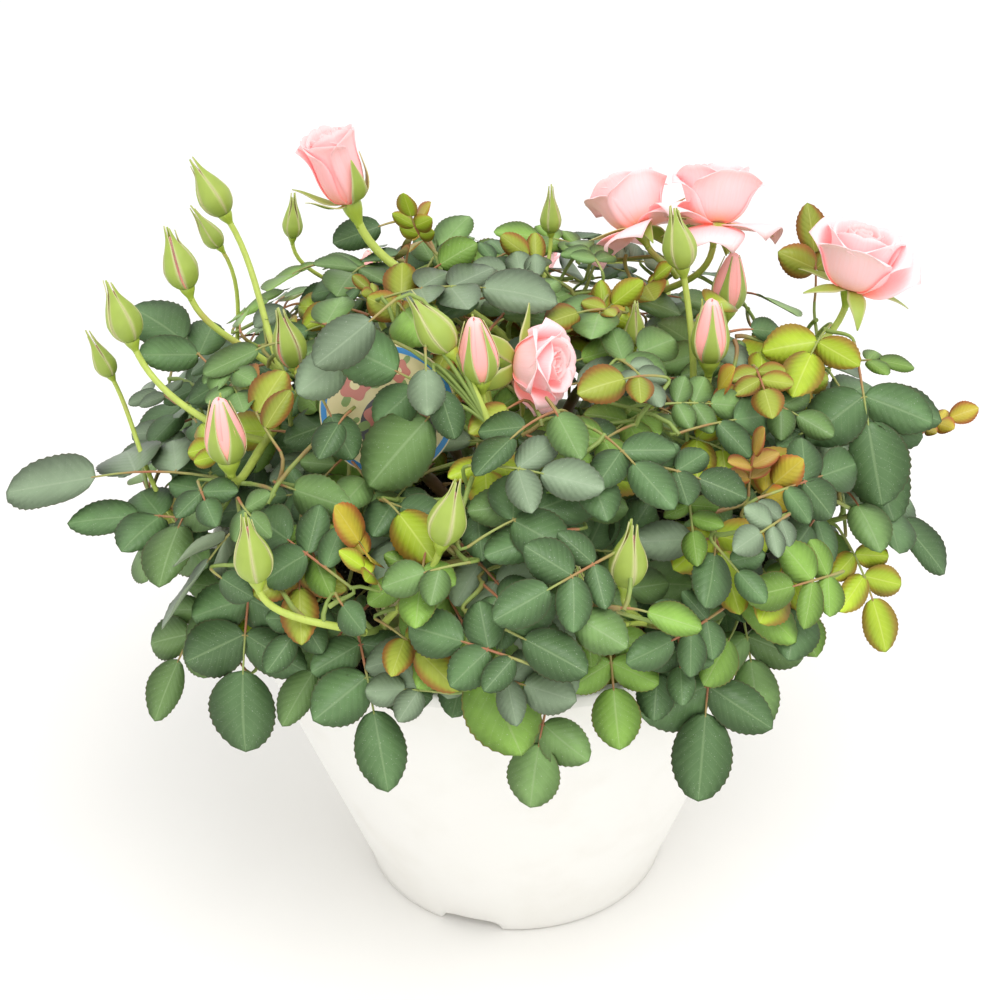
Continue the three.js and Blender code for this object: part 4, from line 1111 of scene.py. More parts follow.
# Stem skins: colour, blush, between which noise values the blush comes in, roughness
stemSkins = {
    "green_cane": ((0.20, 0.27, 0.07), (0.24, 0.13, 0.06), (0.42, 0.66), 0.5),
    "green_twig": ((0.26, 0.36, 0.08), (0.32, 0.17, 0.07), (0.50, 0.72), 0.5),
    "lime_stalk": ((0.50, 0.61, 0.11), (0.52, 0.38, 0.11), (0.58, 0.8), 0.45),
    "leaf_stalk": ((0.34, 0.40, 0.11), (0.42, 0.17, 0.08), (0.40, 0.62), 0.5),
    "thorn_skin": ((0.42, 0.20, 0.10), (0.55, 0.34, 0.18), (0.45, 0.6), 0.4),
}


def stemMaterial(name, skin, blush, share, roughness):
    tree, shader = newMaterial(name, roughness)
    detail = placeGroup(tree, barkDetail, Grain=420.0, Patches=48.0)
    patch = spread(tree, detail["Blotches"], *share)
    streaked = mixColour(tree, detail["Streaks"], scaled(skin, 0.78), scaled(skin, 1.2))
    dress(tree, shader, mixColour(tree, patch, streaked, blush), detail["Height"], 0.3, 0.0004)


barkForm = {"pale": (0.30, 0.24, 0.15), "brown": (0.16, 0.105, 0.055), "crack": (0.035, 0.024, 0.014)}


def barkMaterial():
    tree, shader = newMaterial("old_bark", 0.86)
    detail = placeGroup(tree, barkDetail, Grain=330.0, Patches=90.0)
    crack = spread(tree, detail["Streaks"], 0.36, 0.62)
    toned = mixColour(tree, detail["Blotches"], barkForm["brown"], barkForm["pale"])
    dress(tree, shader, mixColour(tree, crack, barkForm["crack"], toned), detail["Height"], 0.8, 0.0012)


# Petal colours by their place on the petal: foot, body and rim
petalTints = {
    "rose": ((0.98, 0.46, 0.39), (0.99, 0.63, 0.655), (0.99, 0.73, 0.74)),
    "heart": ((0.96, 0.22, 0.13), (0.98, 0.44, 0.44), (0.99, 0.62, 0.62)),
    "blush": ((0.97, 0.40, 0.34), (0.97, 0.49, 0.51), (0.98, 0.60, 0.60)),
    "bud": ((0.97, 0.50, 0.36), (0.98, 0.44, 0.42), (0.98, 0.58, 0.55)),
}
# The glow stands for light that comes through thin petals
petalFinish = {
    "roughness": 0.6, "shine": 0.15, "glow": 0.17, "glowFoot": (0.98, 0.30, 0.20),
    "glowRim": (0.98, 0.42, 0.43), "lines": (34, 2.2, 1), "lineShare": 0.16,
}


def petalMaterial(name, foot, body, rim):
    form = petalFinish
    tree, shader = newMaterial("petal_" + name, form["roughness"], Specular_IOR_Level=form["shine"])
    at = surfacePlace(tree)
    up = splitUp(tree, at)[1]
    shaded = mixColour(tree, shadeField(tree), scaled(body, 0.93), scaled(body, 1.05))
    lower = mixColour(tree, spread(tree, up, 0.02, 0.38), foot, shaded)
    upper = mixColour(tree, spread(tree, up, 0.45, 1.0), lower, rim)
    lines = noiseValue(tree, at, 1, 2, form["lines"])
    share = mathNode(tree, "MULTIPLY", spread(tree, lines, 0.4, 0.75), form["lineShare"])
    veined = mixColour(tree, share, upper, foot)
    glow = mixColour(tree, spread(tree, up, 0.1, 0.9), form["glowFoot"], form["glowRim"])
    tree.links.new(glow, shader.inputs["Emission Color"])
    shader.inputs["Emission Strength"].default_value = form["glow"]
    dress(tree, shader, veined, lines, 0.18, 0.0005)


# Sepals and hips: skin, felted edge, how strong the edge shows, roughness
sepalSkins = {
    "sepal_green": ((0.355, 0.465, 0.075), (0.68, 0.63, 0.34), 0.75, 0.5),
    "hip_green": ((0.415, 0.545, 0.065), (0.4, 0.5, 0.12), 0.1, 0.32),
}


def sepalMaterial(name, skin, edge, edgeShare, roughness):
    tree, shader = newMaterial(name, roughness)
    across = fromMidrib(tree, splitUp(tree, surfacePlace(tree)))
    detail = placeGroup(tree, barkDetail, Grain=700.0, Patches=160.0)
    mottled = mixColour(tree, detail["Blotches"], scaled(skin, 0.82), scaled(skin, 1.15))
    rim = mathNode(tree, "MULTIPLY", spread(tree, across, 0.62, 1.0), edgeShare)
    dress(tree, shader, mixColour(tree, rim, mottled, edge), detail["Height"], 0.25, 0.0003)


# Plastics and inks: colour, a darker colour for smudges and towards the bottom, roughness
plastics = {
    "white_plastic": ((0.88, 0.87, 0.835), (0.77, 0.745, 0.68), 0.36),
    "cream_card": ((0.905, 0.79, 0.44), (0.86, 0.73, 0.38), 0.3),
    "blue_ink": ((0.07, 0.31, 0.70), (0.06, 0.27, 0.62), 0.3),
    "grey_ink": ((0.11, 0.11, 0.12), (0.09, 0.09, 0.10), 0.3),
    "coral_ink": ((0.68, 0.25, 0.20), (0.60, 0.21, 0.17), 0.3),
    "leaf_ink": ((0.30, 0.42, 0.16), (0.26, 0.37, 0.14), 0.3),
}
plasticForm = {"clouds": 38, "grain": 900, "footDarkening": 0.25, "smudge": 0.35, "roughSpread": 0.12}


def plasticMaterial(name, colour, dust, roughness):
    form = plasticForm
    tree, shader = newMaterial(name, roughness)
    at = objectPlace(tree)
    parts = splitUp(tree, at)
    cloudy = noiseValue(tree, at, form["clouds"], 4)
    # Darker towards the bottom of each piece, and in smudges
    low = mathNode(tree, "SUBTRACT", 1, spread(tree, parts[2], 0.0, 0.03))
    smudge = mathNode(tree, "MULTIPLY", spread(tree, cloudy, 0.45, 0.8), form["smudge"])
    toned = mathNode(tree, "MULTIPLY_ADD", low, form["footDarkening"], smudge)
    shown = mixColour(tree, toned, colour, dust)
    grain = noiseValue(tree, at, form["grain"], 2)
    wide = form["roughSpread"]
    rough = mathNode(tree, "MULTIPLY_ADD", cloudy, wide, roughness - wide / 2)
    tree.links.new(rough, shader.inputs["Roughness"])
    dress(tree, shader, shown, grain, 0.12, 0.0002)


# Soil and what lies on it: dark, light, roughness, relief
earths = {
    "dark_earth": ((0.012, 0.010, 0.007), (0.075, 0.060, 0.040), 0.93, 0.9),
    "crumb_earth": ((0.018, 0.014, 0.010), (0.11, 0.082, 0.05), 0.92, 0.7),
    "peat_fibre": ((0.10, 0.065, 0.035), (0.26, 0.19, 0.11), 0.85, 0.3),
    "perlite": ((0.55, 0.53, 0.48), (0.82, 0.80, 0.75), 0.8, 0.5),
}


def earthMaterial(name, dark, light, roughness, bump):
    tree, shader = newMaterial(name, roughness)
    at = objectPlace(tree)
    coarse, fine = noiseValue(tree, at, 190, 5), noiseValue(tree, at, 900, 3)
    both = mathNode(tree, "MULTIPLY_ADD", fine, 0.45, mathNode(tree, "MULTIPLY", coarse, 0.6))
    dress(tree, shader, mixColour(tree, spread(tree, both, 0.35, 0.75), dark, light), both, bump, 0.0016)


for under in (False, True):
    for name, tint in leafTints.items():
        leafMaterial(name, tint, under)
for name, look in stemSkins.items():
    stemMaterial(name, *look)
barkMaterial()
for name, look in petalTints.items():
    petalMaterial(name, *look)
for name, look in sepalSkins.items():
    sepalMaterial(name, *look)
for name, look in plastics.items():
    plasticMaterial(name, *look)
for name, look in earths.items():
    earthMaterial(name, *look)
print("materials are ready")


# The pot: one turned shell with a lip and three arched notches in its foot
potDetail = {
    "sides": 192, "wallRows": 14, "thinner": 0.4, "innerEdge": 0.9, "floorHeight": 1.2,
    "floorReaches": (4, 20), "innerReach": 30, "sharp": 50,
}
mapScale = 0.01      # UV units per millimetre on flat and turned pieces


def notchLift(turn):
    form = potForm
    lifts = np.zeros_like(turn)
    for i in range(form["notchCount"]):
        apart = (turn - form["notchTurn"] - 360 / form["notchCount"] * i + 180) % 360 - 180
        x = np.radians(apart) * form["baseRadius"] / (form["notchWidth"] / 2)
        lifts = np.maximum(lifts, np.where(np.abs(x) < 1, np.sqrt(np.maximum(0, 1 - x ** 4)), 0))
    return lifts * form["notchHeight"]


def arcRow(centre, radius, start, end, steps):
    angles = np.radians(np.linspace(start, end, steps))
    return [(centre[0] + radius * math.cos(a), centre[1] + radius * math.sin(a)) for a in angles]


def potProfile():
    form = potForm
    edge, top = form["edge"], form["height"]
    rim, wall, innerEdge = form["rimRadius"], form["wall"], potDetail["innerEdge"]
    lipLow, innerRim = top - form["lipHeight"], rim - wall - potDetail["thinner"]
    rows = [(form["baseRadius"] + edge, edge)]
    rows += [(potOuter(z), z) for z in np.linspace(edge + 2, lipLow - 1.2, potDetail["wallRows"])]
    rows += [(potOuter(lipLow) + 0.25, lipLow - 0.5), (rim - 0.5, lipLow), (rim, lipLow + 0.5)]
    rows.append((rim, top - edge))
    rows += arcRow((rim - edge, top - edge), edge, 15, 90, 5)
    rows += arcRow((innerRim + innerEdge, top - innerEdge), innerEdge, 100, 180, 4)
    return rows + [(potOuter(z) - wall, z) for z in np.linspace(top - 3, soilTop - 8, 5)]


def makePot():
    form = potForm
    sides, high, base = potDetail["sides"], form["notchHeight"], form["baseRadius"]
    turn = 360 * np.arange(sides) / sides
    angles = np.radians(turn)
    lift = notchLift(turn + 90)
    rings = [(reach, potDetail["floorHeight"]) for reach in potDetail["floorReaches"]]
    inside = base - form["notchDepth"]
    rings += [(inside - 1.5, potDetail["floorHeight"]), (inside, 0 * lift), (inside + 0.5, lift)]
    rings += [(base - 3.5, lift), (base - 0.9, lift), (base + 0.3, 0.35 + lift)]
    for reach, height in potProfile():
        if height < high + 3:      # the notches fade out above their top
            z = height + lift * (1 - height / (high + 3.2))
            rings.append((potOuter(z) + 0.02 if height > form["edge"] else reach, z))
        else:
            rings.append((reach, height))
    rings.append((potDetail["innerReach"], rings[-1][1]))
    x, y = np.cos(angles), np.sin(angles)
    points = np.concatenate([np.stack([r * x, r * y, z + 0 * angles], 1) for r, z in rings])
    faces = bandFaces(len(rings) - 1, sides) + endFaces(len(rings), sides)
    stock = newStock()
    stockAdd(stock, points, faces, points[:, :2] * mapScale)
    stockPiece("pot_shell", stock, ["white_plastic"], "pot_plastic", "pot", sharp=potDetail["sharp"])


# Potting soil: a heaped top inside the wall, closed below
soilForm = {
    "reach": 93.2, "rings": 44, "sides": 120, "depth": 9, "heave": 2.4, "low": 2.2, "taper": 0.955,
    "lumps": 0.045, "fine": 0.21, "fineHeave": 0.8,
}


def soilHeight(x, y, reach):
    form = soilForm
    broad = noise.noise(Vector((x * form["lumps"], y * form["lumps"], 3.1)))
    fine = noise.noise(Vector((x * form["fine"], y * form["fine"], 7.7)))
    edge = max(0.0, 1 - ((reach / form["reach"]) ** 6))
    heave = form["heave"] * (0.5 + broad) + form["fineHeave"] * fine
    return soilTop - form["low"] + edge * heave


def makeSoil():
    form = soilForm
    sides, rings = form["sides"], form["rings"]
    points = [(0, 0, soilHeight(0, 0, 0))]
    for i in range(1, rings + 1):
        reach = form["reach"] * i / rings
        ring = [(reach * math.cos(a), reach * math.sin(a)) for a in ringAngles(sides)]
        points += [(x, y, soilHeight(x, y, reach)) for x, y in ring]
    skirt = np.array(points[-sides:])
    skirt[:, 2] -= form["depth"]
    skirt[:, :2] *= form["taper"]
    points = np.concatenate([points, skirt])
    faces = [(0, 1 + j, 1 + (j + 1) % sides) for j in range(sides)]
    faces += [(a, d, c, b) for a, b, c, d in bandFaces(rings, sides, 1)]
    faces.append(tuple(range(len(points) - 1, len(points) - 1 - sides, -1)))
    stock = newStock()
    stockAdd(stock, points, faces, points[:, :2] * mapScale)
    stockPiece("potting_soil", stock, ["dark_earth"], "soil", "soil")


# Sets shapes on points, with a turn, a size and the number of its shape for each, and other fields if any
def scatterPiece(name, shapes, points, turns, sizes, numbers, finishes, slot, *nodes, **fields):
    group = bpy.data.collections.new(name + "_shapes")
    for i, shape in enumerate(shapes):
        group.objects.link(bpy.data.objects.new(f"{name}_shape_{i}", shape))
    piece = newPiece(name, pointMesh(name, points, {
        "turn": ("FLOAT_VECTOR", turns), "size": ("FLOAT", sizes), "shape": ("INT", numbers), **fields,
    }))
    blade, under = (skins[finish] for finish in finishes)
    grownMesh(piece, scatterShapes, {"Shapes": group, "Blade": blade, "Underside": under})
    for shape in list(group.objects):
        bpy.data.objects.remove(shape)
    bpy.data.collections.remove(group)
    finishPiece(piece, slot, *nodes)


# What lies on the soil: finish, count, size, lift above the soil per size, share of tilt
litterForm = {
    "soil_crumbs": ("crumb_earth", 2600, (0.8, 2.9), 0.16, 1),
    "soil_perlite": ("perlite", 120, (0.9, 2.2), 0.2, 1),
    "soil_fibres": ("peat_fibre", 260, (5, 13), 0.02, 0.12),
}
litterSeed = 8


def lumpMesh(name, seed, squash):
    rng = np.random.default_rng(seed)
    golden = (1 + math.sqrt(5)) / 2
    corners = np.array([(s, t * golden, 0) for s in (-1, 1) for t in (-1, 1)])
    points = np.concatenate([corners, corners[:, [2, 0, 1]], corners[:, [1, 2, 0]]]) / 2
    shape = bpy.data.meshes.new(name)
    work = bmesh.new()
    for point in points * rng.uniform(0.72, 1.1, (12, 1)) * (1, 1, squash):
        work.verts.new(point * 0.5)
    bmesh.ops.convex_hull(work, input=work.verts)
    work.to_mesh(shape)
    work.free()
    return shape


def fibreMesh(name, seed):
    bend = np.random.default_rng(seed).uniform(-0.25, 0.25, 2)
    t = np.linspace(0, 1, 5)
    path = np.stack([t - 0.5, bend[0] * np.sin(t * 3.1), 0.02 + 0.1 * bend[1] * t * t], 1)
    stock = newStock()
    limbAdd(stock, list(path), [0.03 * (1.2 - 0.8 * x) for x in t], 4)
    return newMesh(name, np.concatenate(stock["points"]), stock["faces"])


def litterPiece(name, shapes, seed):
    finish, count, sizes, lift, flat = litterForm[name]
    rng = np.random.default_rng(seed)
    angles = rng.uniform(0, 2 * math.pi, count)
    reach = np.sqrt(rng.uniform(0, 1, count)) * (soilForm["reach"] - 4)
    size = rng.uniform(*sizes, count)
    points = []
    for angle, r, s in zip(angles, reach, size):
        x, y = r * math.cos(angle), r * math.sin(angle)
        points.append((x, y, soilHeight(x, y, r) + lift * s))
    turns = rng.uniform(-math.pi, math.pi, (count, 3))
    turns[:, :2] *= flat
    numbers = rng.integers(0, len(shapes), count)
    scatterPiece(name, shapes, points, turns, size * mm, numbers, (finish, finish), "soil")


def makeLitter():
    crumbs = [lumpMesh(f"crumb_{i}", litterSeed + i, 0.8) for i in range(4)]
    grains = [lumpMesh(f"grain_{i}", litterSeed + 20 + i, 1) for i in range(3)]
    fibres = [fibreMesh(f"fibre_{i}", litterSeed + 40 + i) for i in range(4)]
    for i, (name, shapes) in enumerate(zip(litterForm, (crumbs, grains, fibres))):
        litterPiece(name, shapes, litterSeed + i)


# Round tag on a stake, with a plain blue rim and a loose ring of small blossoms: place and size of each
tagDetail = {
    "sides": 96, "rimWidth": 2.1, "rimInset": 0.4, "print": 0.12, "stakeTip": 7, "sharp": 40,
    "patch": (11.5, 3, -5, 48),
    "blossoms": (
        (-9.5, 8.5, 4.6), (3.5, 12.5, 3.4), (11.5, 2.5, 4.2), (-13, -5, 3.2), (-1.5, -1.5, 5.2),
        (8, -11, 3.0),
    ),
    "leafReach": 1.25, "small": 0.34,
}
tagInks = ["blue_ink", "coral_ink", "leaf_ink", "cream_card", "grey_ink"]


# A point of the card: across it, up along it, and off its middle
def tagPoint(x, up, off):
    centre, rise, _ = tagFrame()
    return centre + np.array([x, 0, 0]) + rise * up + np.array([0, -rise[2], rise[1]]) * off


def flatAdd(stock, outline, off, thickness, mark):
    count = len(outline)
    points = [tagPoint(x, up, height) for height in (off + thickness, off) for x, up in outline]
    faces = [tuple(range(count)), tuple(range(2 * count - 1, count - 1, -1))]
    faces += [(i + count, (i + 1) % count + count, (i + 1) % count, i) for i in range(count)]
    stockAdd(stock, np.array(points), faces, np.array(list(outline) * 2) * mapScale, mark)


def ringOutline(radius, x=0, up=0, sides=24, wobble=0, petals=5, phase=0):
    angles = ringAngles(sides)
    reach = radius * (1 + wobble * np.cos(petals * angles + phase))
    return [(x + r * math.cos(a), up + r * math.sin(a)) for r, a in zip(reach, angles)]


def makeTag():
    form = tagDetail
    length = tagFrame()[2]
    radius, thick, wide = tagForm["radius"], tagForm["thickness"], tagForm["stakeWidth"] / 2
    sides, film, small = form["sides"], form["print"], form["small"]
    around = math.radians(-90) + 2 * math.pi * (np.arange(sides) + 0.5) / sides
    outline = [(radius * math.cos(angle), radius * math.sin(angle)) for angle in around]
    outline = [(x, up) for x, up in outline if up >= 0 or abs(x) >= wide]
    low, tip = -math.sqrt(radius ** 2 - wide ** 2), -length + form["stakeTip"]
    card, ink = newStock(), newStock()
    stake = [(-wide, low), (-wide, tip), (0, -length), (wide, tip), (wide, low)]
    flatAdd(card, outline + stake, -thick / 2, thick, 0)
    stockPiece("tag_card", card, ["cream_card"], "tag_card", "plant_tag", sharp=form["sharp"])
    off = thick / 2
    ring = ringOutline(radius - form["rimInset"], sides=sides)
    hole = ringOutline(radius - form["rimWidth"], sides=sides)
    layers = ((ring, 0), (ring, film), (hole, film), (hole, 0))
    points = np.array([tagPoint(x, up, off + height) for edge, height in layers for x, up in edge])
    faces = [(b, c % len(points), d % len(points), a) for a, b, c, d in bandFaces(4, sides)]
    stockAdd(ink, points, faces, np.zeros((len(points), 2)), 0)
    flatAdd(ink, ringOutline(*form["patch"]), off, film * 0.8, 4)
    for i, (x, up, size) in enumerate(form["blossoms"]):
        for angle in (0.9 * i, 0.9 * i + 2.1, 0.9 * i + 4.2):
            reach = size * form["leafReach"]
            leafX, leafUp = x + reach * math.cos(angle), up + reach * math.sin(angle)
            flatAdd(ink, ringOutline(size * small, leafX, leafUp, 12, 0.25, 2, -2 * angle), off, film, 2)
        flatAdd(ink, ringOutline(size, x, up, 40, 0.13, 5, i), off, film * 1.6, 1)
        flatAdd(ink, ringOutline(size * small, x, up, 16), off, film * 2.2, 3)
    stockPiece("tag_print", ink, tagInks, "tag_card").data.shade_flat()


# The short old stem at the foot, and the canes that leave it
crownDetail = {
    "sides": 64, "rows": 30, "sunk": 3, "neckAt": 0.35, "thinner": 0.97, "relief": 0.10,
    "knots": (1.9, 0.09, 0), "ridges": (7, 0.05, 9), "ridgeRelief": 0.05, "crest": (0.8, 0.6),
}
caneDetail = {
    "sides": 20, "steps": 56, "relief": 0.05, "sink": 6, "thinner": 0.98,
    "nodes": (0.16, 0.31, 0.47, 0.62, 0.78, 0.92), "nodeWidth": 0.012, "nodeSwell": 0.10, "grain": 0.16,
}


def makeCrown():
    form = crownDetail
    low, neck, top = crownForm["footRadius"], crownForm["neckRadius"], crownForm["topRadius"]
    neckAt, sunk, crest = form["neckAt"], form["sunk"], form["crest"]
    heights = np.linspace(0, 1, form["rows"])
    radii = list(np.interp(heights, (0, neckAt, 1), (low, neck, top)) * form["thinner"])
    points = [np.array([0, 0, soilTop - sunk + (crownForm["height"] + sunk) * t]) for t in heights]
    points.append(points[-1] + upward * crest[0])
    radii.append(radii[-1] * crest[1])

    def rough(angles, z, pattern):
        wide, tall, offset = pattern
        return np.array([
            noise.noise(Vector((math.cos(a) * wide, math.sin(a) * wide, z * tall + offset))) for a in angles
        ])

    def relief(angles, i):
        z = points[i][2]
        knots = form["relief"] * (rough(angles, z, form["knots"]) - 0.3)
        return knots + form["ridgeRelief"] * rough(angles, z, form["ridges"])

    stock = newStock()
    limbAdd(stock, points, radii, form["sides"], relief=relief)
    stockPiece("crown_wood", stock, ["old_bark"], "old_wood", "crown_stem")


# The radius of a mass's cane at a share of its way
def caneRadius(mass, t, thinner=1):
    return mass["radius"] * thinner + (caneForm["tipRadius"] - mass["radius"]) * t


def makeCanes():
    form = caneDetail
    stock = newStock()
    for index, mass in enumerate(masses):
        points = list(curvePoints(mass["cane"], form["steps"]))
        if mass["ring"] == "top":
            points.insert(0, points[0] - unit(points[1] - points[0]) * 2)
        else:
            inward = unit(np.array([-points[0][0], -points[0][1], -4.0])) * form["sink"]
            points = [points[0] + inward * (1 - k / 3) for k in range(3)] + points
        t = np.linspace(0, 1, len(points))
        nodesAt = np.array(form["nodes"]) + 0.02 * math.sin(index)
        swell = np.exp(-((t[:, None] - nodesAt) / form["nodeWidth"]) ** 2).sum(1)
        radii = caneRadius(mass, t, form["thinner"]) * (1 + form["nodeSwell"] * swell)

        def relief(angles, i):
            x, y, z = points[i] * form["grain"]
            bumps = [noise.noise(Vector((x + math.cos(a), y + math.sin(a), z + index))) for a in angles]
            return form["relief"] * np.array(bumps)

        limbAdd(stock, points, radii, form["sides"], 0.3 + 0.4 * (index % 3) / 2, relief)
    stockPiece("canes", stock, ["green_cane"], "green_cane", *("cane_" + mass["suffix"] for mass in masses))


# Prickles: small hooked cones, pointing down their cane
prickleForm = {
    "perCane": 7, "size": (2.6, 4.0), "seed": 15, "sides": 6, "rows": (0, 0.35, 0.7, 1), "slim": 0.13,
    "wide": 0.30, "tip": 0.012, "hook": 0.36, "sunk": 0.93,
}


def prickleMesh():
    form, angles = prickleForm, ringAngles(prickleForm["sides"])
    rows = []
    for t in form["rows"]:
        wide, slim = (form[size] * (1 - t) ** 0.8 + form["tip"] for size in ("wide", "slim"))
        x, y = slim * np.cos(angles), wide * np.sin(angles) - form["hook"] * t * t
        rows.append(np.stack([x, y, t + 0 * angles], 1))
    faces = endFaces(len(rows), form["sides"]) + bandFaces(len(rows) - 1, form["sides"])
    mesh = newMesh("prickle_shape", np.concatenate(rows), faces)
    mesh.shade_smooth()
    return mesh


# Euler turns of things with a side, a way along and a face
def turnsOf(side, along, face):
    x = np.arctan2(along[:, 2], face[:, 2])
    y = np.arcsin(np.clip(-side[:, 2], -1, 1))
    z = np.arctan2(side[:, 1], side[:, 0])
    return np.stack([x, y, z], 1)


def makePrickles():
    form = prickleForm
    rng = np.random.default_rng(form["seed"])
    points, frames, sizes = [], [], []
    for mass in masses:
        for t in rng.uniform(0.12, 0.95, form["perCane"]):
            low, high = curveAt(mass["cane"], t), curveAt(mass["cane"], t + 0.02)
            way = unit(high - low)
            out = turnAbout(squareTo(np.array([0.3, 0.9, 0.1]), way), way, rng.uniform(0, 6.28))
            points.append(low + out * (caneRadius(mass, t) * form["sunk"]))
            frames.append((cross(way, out), way, out))
            sizes.append(rng.uniform(*form["size"]) * mm)
    turns = turnsOf(*np.array(frames).transpose(1, 0, 2))
    numbers, finishes = np.zeros(len(points), int), ("thorn_skin", "thorn_skin")
    scatterPiece("prickles", [prickleMesh()], points, turns, sizes, numbers, finishes, "green_cane")


makePot()
makeSoil()
makeLitter()
makeTag()
makeCrown()
makeCanes()
makePrickles()
print("pot, soil, tag, crown and canes are made")


foliageNodes = ["foliage_" + mass["suffix"] for mass in masses]


# Nets of edges for stems of one skin, with a girth at each point
def newNet():
    return {"points": [], "girths": [], "edges": []}


def netAdd(net, points, girths):
    first = len(net["points"])
    net["points"] += [tuple(point) for point in points]
    net["girths"] += list(girths)
    net["edges"] += [(first + i, first + i + 1) for i in range(len(points) - 1)]


def netPiece(name, net, sides, bark, slot, *nodes):
    girths = np.array(net["girths"]) * mm
    piece = newPiece(name, pointMesh(name, net["points"], {"girth": ("FLOAT", girths)}, net["edges"]))
    grownMesh(piece, growStems, {"Sides": sides, "Bark": skins[bark]})
    finishPiece(piece, slot, *nodes)


stemForm = {
    "stem": (1.7, 0.8), "stemSunk": 4, "stemSteps": 12, "stemSides": 7, "twig": (0.8, 0.5), "twigSunk": 0.6,
    "twigSteps": 8, "shortTwig": 12, "rachis": (0.5, 0.34), "rachisSteps": 8, "rachisSides": 5,
    "petiolule": 0.3, "youngShare": 0.75, "stalk": (1.15, 0.95), "stalkSteps": 16, "stalkSides": 10,
}
stalkGirth = {"rose": 1.15, "half": 1.45, "pinkBud": 1.3, "bud": 1.05, "smallBud": 0.75}


# A smooth line from a to c that comes close to b
def smoothThrough(a, b, c, steps):
    t = np.linspace(0, 1, steps)[:, None]
    pull = 1.5 * b - (a + c) / 4
    return (1 - t) ** 2 * a + 2 * t * (1 - t) * pull + t * t * c


def makeStems():
    form = stemForm
    stems, rachises, stalks = newNet(), newNet(), newNet()
    for mass in masses:
        points = curvePoints(mass["stem"], form["stemSteps"])
        way = unit(points[1] - points[0])
        points = np.concatenate([[points[0] - way * form["stemSunk"]], points])
        netAdd(stems, points, np.linspace(*form["stem"], len(points)))
    for spray in sprayList:
        steps = form["twigSteps"] // (1 if curveLength(spray["twig"]) > form["shortTwig"] else 2)
        points = curvePoints(spray["twig"], steps)
        points[0] -= unit(points[1] - points[0]) * form["twigSunk"]
        small = form["youngShare"] if spray["young"] else 1
        netAdd(stems, points, np.linspace(*form["twig"], len(points)) * small)
        curve = smoothThrough(*spray["made"]["rachis"], form["rachisSteps"])
        netAdd(rachises, curve, np.linspace(*form["rachis"], len(curve)) * small)
        for leaf in spray["kept"]:
            near = curve[int(np.argmin(((curve - leaf["base"]) ** 2).sum(1)))]
            into = leaf["base"] + leaf["along"] * leaf["length"] * 0.05
            middle = (near + leaf["base"]) / 2 + leaf["face"] * 0.1
            girth = form["petiolule"] * small
            netAdd(rachises, [near, middle, into], [girth, girth, girth * 0.8])
    for flower in flowerList:
        points = curvePoints(flower["stalk"], form["stalkSteps"])
        foot, tip = (stalkGirth[flower["kind"]] * share for share in form["stalk"])
        netAdd(stalks, points, np.linspace(foot, tip, len(points)))
    netPiece("twigs", stems, form["stemSides"], "green_twig", "green_cane", *foliageNodes)
    netPiece("leaf_stalks", rachises, form["rachisSides"], "leaf_stalk", "foliage", *foliageNodes)
    netPiece("flower_stalks", stalks, form["stalkSides"], "lime_stalk", "green_cane", *foliageNodes)


# Leaflets of unit length: finely toothed outline, two halves that fold and bend. The ranges that a shape is
# drawn from are those of width, fold, droop, wave, twist, phase of the wave and sharpness of the tip
leafForm = {
    "teeth": 12, "tooth": 0.045, "hook": 0.012, "thickness": 0.012, "shapes": 8, "seed": 4,
    "ranges": (
        (0.58, 0.80), (0.0, 0.22), (0.0, 0.16), (0.004, 0.016), (-0.10, 0.10), (0, 6.28), (0.06, 0.24),
    ),
}
# How far leaves turn about their midribs to the light at the front, and the depths it fades between
lightTurn = {"share": 0.6, "youngShare": 1.5, "way": (-0.1, -0.87, 0.3), "from": 100, "over": 90}


def leafletMesh(name, rng):
    form = leafForm
    steps = 2 * form["teeth"]
    width, fold, droop, wave, twist, phase, sharp = (rng.uniform(*ends) for ends in form["ranges"])
    t = np.arange(1, steps) / steps
    half = width / 2 * np.sin(math.pi * t ** 0.95) ** (0.48 + sharp * t ** 2)
    tooth = np.where(np.arange(1, steps) % 2 == 0, 1.0, 0.0)
    edge = half * (1 + form["tooth"] * tooth)
    edgeT = t + form["hook"] * tooth * (t < 0.92)

    def lifted(x, y, away):
        z = np.abs(x) * fold - droop * y ** 2.2 + wave * np.sin(phase + y * 9 + np.sign(x) * 1.3) * away
        return np.stack([x + twist * y * y * 0.4, y, z + twist * x * y], 1)

    count = steps - 1
    mid, right, left, under = (np.arange(count) + i * count for i in range(4))
    base, tip = 4 * count, 4 * count + 1
    ends = lifted(np.array([0.0, 0.0]), np.array([0.0, 1.0]), 0)
    midrib = lifted(0 * t, t, 0)
    sunk = midrib - (0, 0, form["thickness"])
    points = np.concatenate([midrib, lifted(edge, edgeT, 1), lifted(-edge, edgeT, 1), sunk, ends])
    across = np.repeat([0.5, 1, 0, 0.5, 0.5], [count, count, count, count, 2])
    uvs = np.stack([across, np.concatenate([t, t, t, t, [0, 1]])], 1)
    faces = []
    for one, other in ((mid, right), (left, mid), (right, under), (under, left)):
        faces += [(one[i], other[i], other[i + 1], one[i + 1]) for i in range(count - 1)]
        faces += [(base, other[0], one[0]), (tip, one[-1], other[-1])]
    mesh = newMesh(name, points, faces)
    addMap(mesh, uvs)
    regions = np.repeat([0, 1], len(faces) // 2)
    mesh.attributes.new("region", "INT", "FACE").data.foreach_set("value", regions)
    mesh.shade_smooth()
    return mesh


# Side, along and face of a leaf
def litFrame(leaf, tint):
    near = min(1, max(0, (lightTurn["from"] - leaf["base"][1]) / lightTurn["over"]))
    share = lightTurn["youngShare" if tint in youngTints else "share"]
    pull = np.array(lightTurn["way"]) * share * near
    face = squareTo(leaf["face"] + pull, leaf["along"])
    return cross(leaf["along"], face), leaf["along"], face


